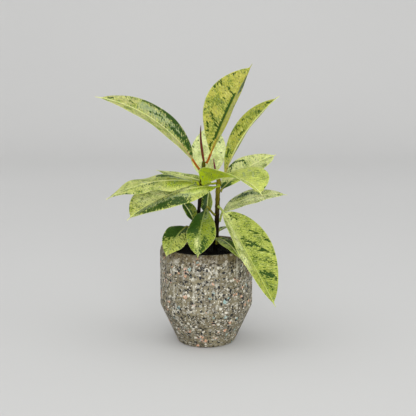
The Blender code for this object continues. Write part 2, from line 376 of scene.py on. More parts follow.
@dataclass(frozen=True)
class PottingSoil:
    """Moist peat soil: dark, painted nearly black for the shade under the crown, and rough, with brown
    fibres and crumbs of 1 to 3 mm.
    """

    # These near-black colours paint in the shade that the leaves cast on the soil
    dark: str = "#040302"
    brown: str = "#120C08"
    crumb: float = 2.4 * MM

    def material(self) -> bpy.types.Material:
        """Return the material."""
        finish = Finish("potting_soil")
        add = finish.add
        place = add("TexCoord", out="Object")
        lumps = add("TexNoise", place, Scale=1 / self.crumb, Detail=5.0)
        cells = add("TexVoronoi", place, Scale=1 / self.crumb, feature="F1", out="Color")
        tint = add("Math", lumps, add("SeparateColor", cells), operation="MULTIPLY")
        share = add("MapRange", tint, 0.25, 0.55)
        colour = add("Mix", share, linear(self.dark), linear(self.brown), **COLOUR)
        bump = add("Bump", Strength=0.9, Distance=0.8 * MM, Height=lumps)
        roughness = add("MapRange", lumps, To_Min=0.75, To_Max=1.0)
        return finish.close(Base_Color=colour, Roughness=roughness, Normal=bump, Specular_IOR_Level=0.12)


@dataclass(frozen=True)
class StemBark:
    """Young bark: smooth and satin, brown at the foot and green above, with small pale pores.

    Its streaks are about 1 mm wide and 6 mm long, and its pores lie about 2.4 mm apart.
    """

    name: str
    brown_height: float
    green_height: float
    foot: str = "#080403"
    middle: str = "#241A0A"
    crown: str = "#6C6616"
    pore: str = "#5A4A28"
    streaks_per_metre: Place = (900.0, 900.0, 160.0)
    pores_per_metre: float = 420.0
    streak_shift: float = 60 * MM

    def material(self) -> bpy.types.Material:
        """Return the material, whose colour goes with the height above the floor."""
        finish = Finish(self.name)
        add = finish.add
        place = add("TexCoord", out="Object")
        level = add("SeparateXYZ", place, out=2)
        streaked = add("VectorMath", place, self.streaks_per_metre, operation="MULTIPLY")
        streaks = add("TexNoise", streaked, Scale=1.0, Detail=3.0)
        # The streaks lift each place's level by 30 mm on average, so the heights lie 20 to 40 mm higher
        shifted = add("Math", streaks, self.streak_shift, level, operation="MULTIPLY_ADD")
        half_way = (self.brown_height + self.green_height) / 2 + 30 * MM
        lower = add("MapRange", shifted, self.brown_height + 20 * MM, half_way)
        upper = add("MapRange", shifted, half_way, self.green_height + 40 * MM)
        dots = add("TexVoronoi", place, Scale=self.pores_per_metre, feature="F1")
        pores = add("MapRange", dots, 0.22, 0.12, To_Max=0.3)
        colour: Any = linear(self.foot)
        for share, tone in ((lower, self.middle), (upper, self.crown), (pores, self.pore)):
            colour = add("Mix", share, colour, linear(tone), **COLOUR)
        height = add("Math", pores, 0.8, streaks, operation="MULTIPLY_ADD")
        bump = add("Bump", Strength=0.5, Distance=0.25 * MM, Height=height)
        roughness = add("MapRange", streaks, To_Min=0.42, To_Max=0.66)
        return finish.close(
            Base_Color=colour, Roughness=roughness, Normal=bump, IOR=1.45, Specular_IOR_Level=0.06
        )


@dataclass(frozen=True)
class SheathSkin:
    """Skin of a rolled new leaf: thin, waxy and red-brown, with fine lines along it.

    The lines are about 0.6 mm wide and 9 mm long.
    """

    name: str
    low: str
    high: str
    foot_height: float
    tip_height: float
    lines_per_metre: Place = (1600.0, 1600.0, 110.0)

    def material(self) -> bpy.types.Material:
        """Return the material, whose colour changes from the low one at the foot to the high one."""
        finish = Finish(self.name)
        add = finish.add
        place = add("TexCoord", out="Object")
        level = add("SeparateXYZ", place, out=2)
        lined = add("VectorMath", place, self.lines_per_metre, operation="MULTIPLY")
        lines = add("TexNoise", lined, Scale=1.0, Detail=2.0)
        climb = add("MapRange", level, self.foot_height, self.tip_height)
        uneven = add("Math", lines, 0.7, -0.35, operation="MULTIPLY_ADD")
        share = add("Math", climb, uneven, operation="ADD", use_clamp=True)
        colour = add("Mix", share, linear(self.low), linear(self.high), **COLOUR)
        bump = add("Bump", Strength=0.4, Distance=0.12 * MM, Height=lines)
        roughness = add("MapRange", lines, To_Min=0.28, To_Max=0.46)
        return finish.close(
            Base_Color=colour, Roughness=roughness, Normal=bump, IOR=1.45, Specular_IOR_Level=0.2
        )


@dataclass(frozen=True)
class LeafTissue:
    """Leathery variegated leaf: a waxy skin over pale tissue, marbled with green along its veins.

    The mesh carries the ground colour with its painted through-light and shade, where green tissue and
    grey-green tissue with painted sheen lie, and the place on the blade in millimetres, so every leaf shares
    this one finish. The sizes below are in millimetres too.
    """

    dark: str = "#12300A"
    dark_soft: str = "#37591A"
    # grey and the soft grey after it are grey-green tissue with painted sheen on it
    grey: str = "#7F9060"
    grey_sheen_soft: str = "#9DAA86"
    fresh: str = "#9BAA34"
    mottle: str = "#5E7222"
    bright: str = "#DCE08E"
    vein: str = "#D6DDA0"
    margin: str = "#D3D996"
    vein_slope: float = 0.577
    vein_spacing: float = 3.4
    vein_drift: float = 11.0
    fleck_width: float = 1.9
    fleck_length: float = 5.0
    speck: float = 1.7
    clump: float = 3.0
    cloud: float = 16.0

    def material(self) -> bpy.types.Material:
        """Return the material. Patterns run in millimetres along and across the blade."""
        finish = Finish("variegated_leaf")
        add = finish.add
        blade = add("Attribute", attribute_name="blade", out="Vector")
        along, across, half_share = (add("SeparateXYZ", blade, out=k) for k in range(3))
        tissue = add("Attribute", attribute_name="tissue", out="Color")
        green, grey_sheen_layer, rib = (add("SeparateColor", tissue, out=k) for k in range(3))
        mottling = add("Attribute", attribute_name="tissue", out="Alpha")
        ground = add("Attribute", attribute_name="ground", out="Color")

        reach = add("Math", across, operation="ABSOLUTE")
        course = add("Math", reach, -self.vein_slope, along, operation="MULTIPLY_ADD")
        slanted = add("CombineXYZ", course, across, 0.0)
        fleck_scale = (1 / self.fleck_width, 1 / self.fleck_length, 1.0)
        fleck_place = add("VectorMath", slanted, fleck_scale, operation="MULTIPLY")
        flecks = add("TexNoise", fleck_place, Scale=1.0, Detail=4.0, Distortion=0.7)
        specks = add("TexNoise", blade, Scale=1 / self.speck, Detail=2.0)
        clumps = add("TexNoise", blade, Scale=1 / self.clump, Detail=3.0)
        clouds = add("TexNoise", blade, Scale=1 / self.cloud, Detail=2.0)
        off_rib = add("Math", 1.0, rib, operation="SUBTRACT")

        # Small changes of the ground: livelier, fresher in clouds, mottled, and lit by paler flecks
        lively = add("MapRange", clumps, 0.3, 0.7, To_Min=0.80, To_Max=1.16)
        cloudy = add("MapRange", clouds, 0.42, 0.7, To_Max=0.4, **EASED)
        patchy = add("Math", clouds, 0.9, -0.45, operation="MULTIPLY_ADD")
        mottled = add("Math", specks, patchy, operation="ADD")
        mottles = add("MapRange", mottled, 0.53, 0.62, To_Max=0.85, **EASED)
        lit = add("MapRange", flecks, 0.46, 0.32, To_Max=0.42, **EASED)
        # Saturated ground has little blue, and hardly shows the paler flecks
        blueness = add("SeparateColor", ground, out=2)
        opaque = add("MapRange", blueness, From_Max=0.06, To_Min=0.12)

        # Side veins: slanted lines that start a little off the midrib and aren't quite straight
        drift = add("Math", clouds, self.vein_drift, operation="MULTIPLY")
        turns = add("Math", course, math.tau / self.vein_spacing, drift, operation="MULTIPLY_ADD")
        wave = add("Math", turns, operation="SINE")
        line = add("MapRange", wave, 0.72, 1.0)
        begun = add("MapRange", reach, 1.0, 3.0)
        vein = add("Math", line, begun, operation="MULTIPLY")
        pale = add("Math", vein, 0.12, operation="MULTIPLY")

        # Grey-green tissue with painted sheen on it, and full green tissue, whose edges the flecks break up
        broken = add("Math", flecks, 4.2, -2.1, operation="MULTIPLY_ADD")
        grey_sheen_amount = add("Math", grey_sheen_layer, broken, operation="ADD")
        grey_sheen_share = add("MapRange", grey_sheen_amount, 0.34, 0.66, To_Max=0.85, **EASED)
        grey = add("Mix", clumps, linear(self.grey), linear(self.grey_sheen_soft), **COLOUR)
        frayed = add("Math", clumps, 2.4, -1.2, operation="MULTIPLY_ADD")
        spared = add("Math", mottling, 0.5, -0.5, operation="MULTIPLY_ADD")
        darkness = green
        for part in (broken, frayed, spared):
            darkness = add("Math", darkness, part, operation="ADD")
        darkened = add("MapRange", darkness, 0.52, 0.72, To_Max=0.97, **EASED)
        dark_share = add("Math", darkened, off_rib, operation="MULTIPLY")
        dark = add("Mix", clumps, linear(self.dark), linear(self.dark_soft), **COLOUR)

        outward = add("Math", half_share, operation="ABSOLUTE")
        hem = add("MapRange", outward, 0.955, 1.0, To_Max=0.4)

        # The layers from the ground up: a share, what limits it, and a colour
        layers = (
            (cloudy, (off_rib,), linear(self.fresh)),
            (mottles, (off_rib, mottling), linear(self.mottle)),
            (lit, (opaque,), linear(self.bright)),
            (pale, (), linear(self.vein)),
            (grey_sheen_share, (off_rib,), grey),
            (dark_share, (), dark),
            (hem, (), linear(self.margin)),
        )
        colour = add("HueSaturation", Value=lively, Color=ground)
        for share, limits, tone in layers:
            for limit in limits:
                share = add("Math", share, limit, operation="MULTIPLY")
            colour = add("Mix", share, colour, tone, **COLOUR)

        sunk = add("Math", vein, -0.6, clumps, operation="MULTIPLY_ADD")
        bump = add("Bump", Strength=0.35, Distance=0.12 * MM, Height=sunk)
        roughness = add("MapRange", dark_share, To_Min=0.46, To_Max=0.34)
        return finish.close(
            Base_Color=colour, Roughness=roughness, Normal=bump, IOR=1.42, Specular_IOR_Level=0.16,
            Subsurface_Weight=0.5, Subsurface_Radius=(1.0, 1.3, 0.25), Subsurface_Scale=1.2 * MM,
        )


@dataclass(frozen=True)
class BackdropPaper:
    """Matt white studio paper, with painted shade toward the camera that evens out the strongly lit front of
    the floor.
    """

    white: str = "#D9D9D8"
    shade: str = "#D5D5D4"
    front: str = "#C8C8C7"
    shade_start: float = 1.2
    shade_end: float = -0.3
    clouds_per_metre: float = 2.0

    def material(self) -> bpy.types.Material:
        """Return the material, with a faint unevenness."""
        finish = Finish("studio_paper")
        add = finish.add
        place = add("TexCoord", out="Object")
        cloud = add("TexNoise", place, Scale=self.clouds_per_metre, Detail=2.0)
        colour = add("Mix", cloud, linear(self.shade), linear(self.white), **COLOUR)
        # Painted shade: the paper darkens toward the camera to cancel the stronger front light
        painted_front_shade = add("MapRange", add("SeparateXYZ", place, out=1), self.shade_start, self.shade_end)
        colour = add("Mix", painted_front_shade, colour, linear(self.front), **COLOUR)
        return finish.close(Base_Color=colour, Roughness=0.9, Specular_IOR_Level=0.2)


@dataclass
class Studio:
    """The plain floor, the soft light and the camera."""

    lens: float = 96.92
    eye: Place = (2.4 * MM, -1560 * MM, 520 * MM)
    pitch: float = 11.77
    sensor: float = 36.0
    farthest: float = 20.0
    floor_front: float = -3.0
    floor_back: float = 1.6
    sweep: float = 0.8
    sweep_steps: int = 12
    wall_top: float = 3.2
    half_width: float = 3.5
    sky: str = "#FFFFFF"
    sky_strength: float = 0.72

    def build(self) -> None:
        """Build the studio."""
        self.add_camera()
        self.add_backdrop()
        self.add_lights()
        bpy.context.scene.view_settings.view_transform = "Standard"

    def add_camera(self) -> None:
        """Put the camera at the photograph's viewing angle."""
        camera = bpy.data.cameras.new("camera")
        camera.lens = self.lens
        camera.sensor_width = self.sensor
        camera.clip_end = self.farthest
        holder = bpy.data.objects.new("camera", camera)
        holder.location = self.eye
        holder.rotation_euler = (math.radians(90 - self.pitch), 0.0, 0.0)
        bpy.context.scene.collection.objects.link(holder)
        bpy.context.scene.camera = holder

    def add_backdrop(self) -> None:
        """Lay a sheet of paper that sweeps up behind the plant."""
        profile = [(self.floor_front, 0.0), (self.floor_back, 0.0)]
        for k in range(1, self.sweep_steps + 1):
            angle = math.radians(90 * k / self.sweep_steps)
            rise = self.sweep * (1 - math.cos(angle))
            profile.append((self.floor_back + self.sweep * math.sin(angle), rise))
        profile.append((self.floor_back + self.sweep, self.wall_top))
        shape = bmesh.new()
        rows = [
            [shape.verts.new((x, y, z)) for x in (-self.half_width, self.half_width)] for y, z in profile
        ]
        for low, high in zip(rows, rows[1:]):
            shape.faces.new((low[0], low[1], high[1], high[0]))
        mesh = to_mesh("backdrop", shape)
        mesh.shade_smooth()
        backdrop = new_piece("backdrop", mesh)
        backdrop.data.materials.append(BackdropPaper().material())

    def add_lights(self) -> None:
        """Light the plant from all round, more from above and in front, and a little from the right."""
        world = bpy.data.worlds.new("studio_light")
        bpy.context.scene.world = world
        world.use_nodes = True
        sky = Nodes(world.node_tree)
        shine = sky.add("Background", Color=linear(self.sky), Strength=self.sky_strength)
        sky.add("OutputWorld", Surface=shine)
        self.add_softbox("overhead", 1.6, (-0.2, -0.3, 1.7), (0.0, 0.0, 0.2), 9.0)
        self.add_softbox("front", 1.4, (0.10, -2.1, 0.34), (0.0, 0.0, 0.2), 34.5)
        self.add_softbox("right", 1.0, (1.7, -0.7, 0.4), (0.0, 0.0, 0.12), 5.0)

    def add_softbox(self, name: str, width: float, place: Place, aim: Place, power: float) -> None:
        """Hang a square softbox.

        Args:
            name: the light's name.
            width: its side in metres.
            place: where it hangs.
            aim: the point that it faces.
            power: its power in watts.
        """
        light = bpy.data.lights.new(name, "AREA")
        light.shape = "SQUARE"
        light.size = width
        light.energy = power
        holder = bpy.data.objects.new(name, light)
        holder.location = place
        holder.rotation_euler = (Vector(aim) - Vector(place)).to_track_quat("-Z", "Y").to_euler()
        bpy.context.scene.collection.objects.link(holder)


@dataclass
class Pot:
    """The cast pot: a tapering foot, a fluted wall whose flutes end in arches, and a rounded rim."""

    node: str = "pot"
    radius: float = 67 * MM
    height: float = 141 * MM
    shoulder_start: float = 133 * MM
    crest_radius: float = 61.5 * MM
    inner_radius: float = 59.5 * MM
    foot_radius: float = 42.5 * MM
    foot_height: float = 4 * MM
    cone_spread: float = 0.456
    floor_thickness: float = 10 * MM
    flutes: int = 26
    flute_depth: float = 1.2 * MM
    weak_drop: float = 0.35 * MM
    ridge_phase: float = 12.6
    steps_per_flute: int = 12
    ridge_width: float = 0.16
    softness: float = 1.8 * MM
    lip_drop: float = 2.2 * MM
    arc_steps: int = 12
    lip_steps: int = 6
    nudge: float = 0.0001
    wear_start: float = 54 * MM
    wear_full: float = 62 * MM

    INSIDE = -1.0
    FOOT_ROUNDING = ((8, 0), (4.5, 0), (2.6, 0.4), (1.3, 1.3), (0.4, 2.6))
    INNER_WALL = ((59.5, 132), (59.5, 120), (59.5, 56), (52, 40), (40, 14))

    def outline(self) -> list[tuple[float, float, float]]:
        """Return the pot's outline as radius, height and wall.

        wall is the uncut radius where flutes may cut, 0 where they may not, and INSIDE on the inner face.
        FOOT_ROUNDING holds insets from the foot's radius with heights, and INNER_WALL radii with heights,
        in millimetres.
        """
        points = [(0.0, 0.0, 0.0)]
        for inset, rise in self.FOOT_ROUNDING:
            points.append((self.foot_radius - inset * MM, rise * MM, 0.0))
        # Rings lie close together from 52 to 59 mm, where the cone meets the wall
        heights = [self.foot_height + 7 * MM * k for k in range(7)]
        heights += [(52 + 0.4 * k) * MM for k in range(18)]
        heights += [(62 + 8 * k) * MM for k in range(9)]
        for height in heights:
            cone = self.foot_radius + (height - self.foot_height) * self.cone_spread
            points.append((min(cone, self.radius), height, self.radius))
        for k in range(self.arc_steps + 1):
            slope = math.radians(90 * k / self.arc_steps)
            reach = self.crest_radius + math.cos(slope) * (self.radius - self.crest_radius)
            height = self.shoulder_start + math.sin(slope) * (self.height - self.shoulder_start)
            points.append((reach, height, reach))
        lip = self.crest_radius - self.inner_radius
        for k in range(1, self.lip_steps + 1):
            slope = math.radians(90 * k / self.lip_steps)
            drop = (1 - math.cos(slope)) * self.lip_drop
            points.append((self.crest_radius - math.sin(slope) * lip, self.height - drop, 0.0))
        for radius, height in self.INNER_WALL:
            points.append((radius * MM, height * MM, self.INSIDE))
        points.append((0.0, self.floor_thickness, self.INSIDE))
        return points

    def build(self) -> bpy.types.Object:
        """Build the pot as a turned shape, then cut its flutes.

        Returns:
            The finished piece.
        """
        count = self.flutes * self.steps_per_flute
        angles = [math.radians(self.ridge_phase) + math.tau * k / count for k in range(count)]
        rings = []
        walls: list[tuple[float]] = []
        for radius, height, wall in self.outline():
            if radius == 0:
                rings.append([Vector((0.0, 0.0, height))])
            else:
                rings.append([Vector((math.sin(a) * radius, -math.cos(a) * radius, height)) for a in angles])
            walls += [(wall,)] * len(rings[-1])
        mesh = loft("pot_shell", rings)
        store(mesh, "wall", "FLOAT", walls)
        piece = new_piece("pot_shell", mesh)
        self.cut_flutes(piece)
        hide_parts(self.node)
        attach(piece, BODY)
        return piece

    def cut_flutes(self, piece: bpy.types.Object) -> None:
        """Cut the flutes into the wall and mark their ridges for the wear on them.

        Args:
            piece: the turned pot, whose points carry the wall's uncut radius.
        """
        work = Work("Cut flutes")
        add = work.add
        phase = work.size("Ridge Phase", self.ridge_phase / 360 * self.flutes)
        flutes = work.size("Flutes Per Turn", float(self.flutes))
        depth = work.size("Flute Depth", self.flute_depth)
        drop = work.size("Weak Ridge Drop", self.weak_drop)
        start = work.size("Shoulder Start", self.shoulder_start)
        top = work.size("Height", self.height)
        width = work.size("Ridge Width", self.ridge_width)
        softness = work.size("Softness", self.softness)
        finish = work.size("Material", Terrazzo().material(), "NodeSocketMaterial")

        # Each place's turn round the pot in flutes, nudged so that a ridge's own points fall on one side
        place = add("GeometryNodeInputPosition")
        x, y, z = (add("SeparateXYZ", place, out=k) for k in range(3))
        back = add("Math", y, -1.0, operation="MULTIPLY")
        angle = add("Math", x, back, operation="ARCTAN2")
        turns = add("Math", angle, 1 / math.tau, operation="MULTIPLY")
        scaled = add("Math", turns, flutes, operation="MULTIPLY")
        course = add("Math", scaled, phase, operation="SUBTRACT")
        nudged = add("Math", course, self.nudge, operation="ADD")
        low = add("Math", nudged, operation="FLOOR")
        share = add("Math", nudged, low, operation="SUBTRACT")
        odd = add("Math", low, 2.0, operation="FLOORED_MODULO")

        # The cut: a parabola in each flute, every other ridge lower, and all fading over the shoulder
        ridge_place = add("Math", nudged, 1.0, operation="PINGPONG")
        ridge = add("Math", ridge_place, drop, operation="MULTIPLY")
        centred = add("Math", share, 2.0, -1.0, operation="MULTIPLY_ADD")
        square = add("Math", centred, centred, operation="MULTIPLY")
        hollow = add("Math", 1.0, square, operation="SUBTRACT")
        cut = add("Math", hollow, depth, ridge, operation="MULTIPLY_ADD")
        climb = add("MapRange", z, start, top)
        climb_square = add("Math", climb, climb, operation="MULTIPLY")
        left = add("Math", 1.0, climb_square, operation="SUBTRACT", use_clamp=True)
        fade = add("Math", left, operation="SQRT")
        faded = add("Math", cut, fade, operation="MULTIPLY")
        wall = add("GeometryNodeInputNamedAttribute", "wall", data_type="FLOAT")
        limit = add("Math", wall, faded, operation="SUBTRACT")
        flat = add("VectorMath", place, (1.0, 1.0, 0.0), operation="MULTIPLY")
        radius = add("VectorMath", flat, operation="LENGTH", out="Value")
        shaped = add("Math", radius, limit, softness, operation="SMOOTH_MIN")
        factor = add("Math", shaped, radius, operation="DIVIDE")
        moved = add("VectorMath", flat, operation="SCALE", Scale=factor)
        target = add("VectorMath", moved, add("CombineXYZ", Z=z), operation="ADD")
        outside = add("Math", wall, 0.001, operation="GREATER_THAN")
        placed = add("GeometryNodeSetPosition", work.sources.outputs[0], outside, target)

        # The wear: on the ridges, less on the weak ones, and only well above the foot
        near = add("Math", nudged, 0.5, operation="PINGPONG")
        crest = add("MapRange", near, width, 0.0, **EASED)
        side = add("Math", share, operation="ROUND")
        weak = add("Math", odd, side, operation="SUBTRACT")
        weak_size = add("Math", weak, operation="ABSOLUTE")
        strength = add("Math", weak_size, -0.6, 1.0, operation="MULTIPLY_ADD")
        above = add("MapRange", z, self.wear_start, self.wear_full)
        worn = crest
        for part in (strength, outside, above):
            worn = add("Math", worn, part, operation="MULTIPLY")
        kind = {"data_type": "FLOAT", "domain": "POINT"}
        marked = add("GeometryNodeStoreNamedAttribute", placed, Name="ridge", Value=worn, **kind)
        dressed = add("GeometryNodeSetMaterial", marked, Material=finish)
        real = add("GeometryNodeRealizeInstances", dressed)
        work.run(piece, real)


@dataclass
class Soil:
    """The soil: its solid stays, and loose crumbs lie on it."""

    node: str = "soil"
    top: float = 129 * MM
    lump: float = 1.1 * MM
    reach: float = 57.6 * MM
    spacing: float = 1.5 * MM
    crumb: float = 1.1 * MM
    smallest: Place = (0.45, 0.45, 0.4)
    largest: Place = (1.45, 1.3, 1.05)
    densest: float = 500000.0
    rings: int = 12
    sides: int = 60
    seed: int = 7

    def height(self, x: float, y: float) -> float:
        """Return the height of the soil's uneven top at a place."""
        wave = math.sin(x / (9 * MM) + 0.7) * math.cos(y / (11 * MM))
        return self.top + self.lump * (wave + 0.6 * math.sin((x + 2 * y) / (13 * MM)))

    def build(self, solid: bpy.types.Object) -> bpy.types.Object:
        """Dress the solid and scatter crumbs over its top.

        Args:
            solid: the soil's CAD node.

        Returns:
            The piece that holds the crumbs.
        """
        finish = PottingSoil().material()
        for slot in solid.material_slots:
            slot.material = finish
        shape = bmesh.new()
        rings = []
        for step in range(1, self.rings + 1):
            radius = self.reach * step / self.rings
            ring = []
            for k in range(self.sides):
                angle = math.tau * k / self.sides
                x = math.sin(angle) * radius
                y = -math.cos(angle) * radius
                ring.append(shape.verts.new((x, y, self.height(x, y))))
            rings.append(ring)
        middle = shape.verts.new((0.0, 0.0, self.height(0.0, 0.0)))
        for k in range(self.sides):
            after = (k + 1) % self.sides
            shape.faces.new((middle, rings[0][k], rings[0][after]))
            for low, high in zip(rings, rings[1:]):
                shape.faces.new((low[k], high[k], high[after], low[after]))
        piece = new_piece("soil_crumbs", to_mesh("soil_crumbs", shape))
        self.scatter(piece, finish)
        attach(piece, BODY)
        return piece

    def scatter(self, piece: bpy.types.Object, finish: bpy.types.Material) -> None:
        """Turn the top's surface into crumbs that lie on it.

        Args:
            piece: the object whose mesh is the top's surface.
            finish: the crumbs' material.
        """
        work = Work("Scatter crumbs")
        add = work.add
        spacing = work.size("Spacing", self.spacing)
        crumb = work.size("Crumb Radius", self.crumb)
        seed = work.size("Seed", self.seed, "NodeSocketInt")
        coat = work.size("Material", finish, "NodeSocketMaterial")
        points = add(
            "GeometryNodeDistributePointsOnFaces", work.sources.outputs[0], distribute_method="POISSON",
            Distance_Min=spacing, Density_Max=self.densest, Seed=seed,
        )
        ball = add("GeometryNodeMeshIcoSphere", Radius=crumb, Subdivisions=1)
        size, turn = (
            add("FunctionNodeRandomValue", data_type="FLOAT_VECTOR", Min=least, Max=most, Seed=seed)
            for least, most in ((self.smallest, self.largest), ((0.0, 0.0, 0.0), (math.tau,) * 3))
        )
        crumbs = add(
            "GeometryNodeInstanceOnPoints", Points=points, Instance=ball, Rotation=turn, Scale=size
        )
        real = add("GeometryNodeRealizeInstances", crumbs)
        smoothed = add("GeometryNodeSetShadeSmooth", real)
        dressed = add("GeometryNodeSetMaterial", smoothed, Material=coat)
        work.run(piece, dressed)


@dataclass
class Stem:
    """A round shoot along points with a radius each: a stem or a rolled new leaf.

    Places and radii are in millimetres. nodes are the heights where leaves or bracts leave the stem. Its
    lumps are about 4 mm across.
    """

    node: str
    slot: str
    points: tuple[tuple[float, float, float, float], ...]
    nodes: tuple[float, ...] = ()
    sides: int = 28
    step: float = 0.8
    swelling: float = 0.13
    node_reach: float = 1.6
    roughness: float = 0.10
    lumps_per_metre: float = 260.0
    lump_depth: float = 3 * MM

    def at(self, height: float) -> tuple[Vector, float]:
        """Return the centre and radius in metres at a height in millimetres."""
        for low, high in zip(self.points, self.points[1:]):
            if low[2] <= height <= high[2]:
                part = (height - low[2]) / (high[2] - low[2])
                values = mixed(low, high, part)
                return Vector(values[:3]) * MM, values[3] * MM
        raise ValueError(f"height {height} is off the stem")

    def path(self) -> tuple[list[Vector], list[tuple[float]]]:
        """Return a smooth path through the points, with its thickness at each place."""
        places: list[Vector] = []
        radii: list[tuple[float]] = []
        last = len(self.points) - 1
        for index in range(last):
            knots = [self.points[min(max(index + k, 0), last)] for k in (-1, 0, 1, 2)]
            count = max(2, round((knots[2][2] - knots[1][2]) / self.step))
            for k in range(count + (index == last - 1)):
                t = k / count
                # A spline that goes through the points
                weights = (
                    (-t + 2 * t * t - t**3) / 2,
                    (2 - 5 * t * t + 3 * t**3) / 2,
                    (t + 4 * t * t - 3 * t**3) / 2,
                    (t**3 - t * t) / 2,
                )
                values = [sum(w * knot[axis] for w, knot in zip(weights, knots)) for axis in range(4)]
                swell = sum(math.exp(-(((values[2] - n) / self.node_reach) ** 2)) for n in self.nodes)
                places.append(Vector(values[:3]) * MM)
                radii.append((values[3] * MM * (1 + self.swelling * min(1.0, swell)),))
        return places, radii

    def build(self, finish: bpy.types.Material) -> bpy.types.Object:
        """Grow the shoot as a tube along its path.

        Args:
            finish: its material.

        Returns:
            The finished piece.
        """
        places, radii = self.path()
        mesh = bpy.data.meshes.new(f"{self.node}_skin")
        mesh.from_pydata(places, [(k, k + 1) for k in range(len(places) - 1)], [])
        store(mesh, "thickness", "FLOAT", radii)
        piece = new_piece(f"{self.node}_skin", mesh)
        work = Work("Grow shoot")
        add = work.add
        sides = work.size("Sides", self.sides, "NodeSocketInt")
        uneven = work.size("Unevenness", self.roughness)
        coat = work.size("Material", finish, "NodeSocketMaterial")
        thickness = add("GeometryNodeInputNamedAttribute", "thickness", data_type="FLOAT")
        curve = add("GeometryNodeMeshToCurve", work.sources.outputs[0])
        ring = add("GeometryNodeCurvePrimitiveCircle", Resolution=sides, Radius=1.0)
        tube = add(
            "GeometryNodeCurveToMesh", Curve=curve, Profile_Curve=ring, Scale=thickness, Fill_Caps=True
        )
        lumps = add("TexNoise", Scale=self.lumps_per_metre, Detail=2.0)
        centred = add("Math", lumps, 0.5, operation="SUBTRACT")
        share = add("Math", centred, uneven, operation="MULTIPLY")
        depth = add("Math", share, self.lump_depth, operation="MULTIPLY")
        push = add("VectorMath", add("GeometryNodeInputNormal"), operation="SCALE", Scale=depth)
        shaped = add("GeometryNodeSetPosition", tube, Offset=push)
        smoothed = add("GeometryNodeSetShadeSmooth", shaped)
        real = add("GeometryNodeRealizeInstances", smoothed)
        dressed = add("GeometryNodeSetMaterial", real, Material=coat)
        work.run(piece, dressed)
        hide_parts(self.node)
        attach(piece, BODY)
        return piece


class Tone(Enum):
    """What a mark on a leaf stands for: a kind of tissue, or painted light, shade or sheen."""

    DARK = "full green tissue"
    # Partly grey-green tissue and partly painted sheen of the bright surroundings on dark tissue
    GREY = "green tissue under a pale layer"
    # Painted light: the saturated yellow-green of light that comes through thin leaves
    PAINTED_THROUGH_LIGHT = "thin tissue that the light comes through"
    PALE = "tissue without any green"
    # Painted shade: olive tissue colour that stands in for the shade of the leaves above
    PAINTED_CROWN_SHADE = "yellow-green tissue in the shade of the crown"


@dataclass(frozen=True)
class Mark:
    """A streak of colour on a blade, from one place to another, or one spot where they are the same.

    s and v are one end's place, and s2 and v2 the other's: a share of the blade's length from its base,
    and of its half width from the midrib, below 0 on the right half. width is in millimetres, and
    strength 1 is solid.
    """

    tone: Tone
    s: float
    v: float
    s2: float
    v2: float
    width: float
    strength: float = 1.0

    def weight(self, place: Spot, ends: tuple[Spot, Spot]) -> float:
        """Return how strong the mark is at a place.

        Args:
            place: millimetres along and across the blade.
            ends: the mark's two ends, in the same way.

        Returns:
            The strength there, which fades away from the line between the ends.
        """
        (ax, ay), (bx, by) = ends
        run = (bx - ax) ** 2 + (by - ay) ** 2
        part = 0.0
        if run > 0:
            part = min(1.0, max(0.0, ((place[0] - ax) * (bx - ax) + (place[1] - ay) * (by - ay)) / run))
        gap = math.hypot(place[0] - ax - (bx - ax) * part, place[1] - ay - (by - ay) * part)
        return self.strength * math.exp(-((gap / self.width) ** 2)) if gap < 3 * self.width else 0.0


# A short name for each tone's marks, in the order of Tone
dark, grey, through_light, pale, crown_shade = (partial(Mark, tone) for tone in Tone)


@dataclass
class Section:
    """The blade's frame and sizes at one share of its length."""

    share: float
    place: Vector
    along: Vector
    left: Vector
    up: Vector
    fold: float
    reach_left: float
    reach_right: float

    def reach(self, v: float) -> float:
        """Return the half width in metres on the side of the share v."""
        return self.reach_left if v >= 0 else self.reach_right


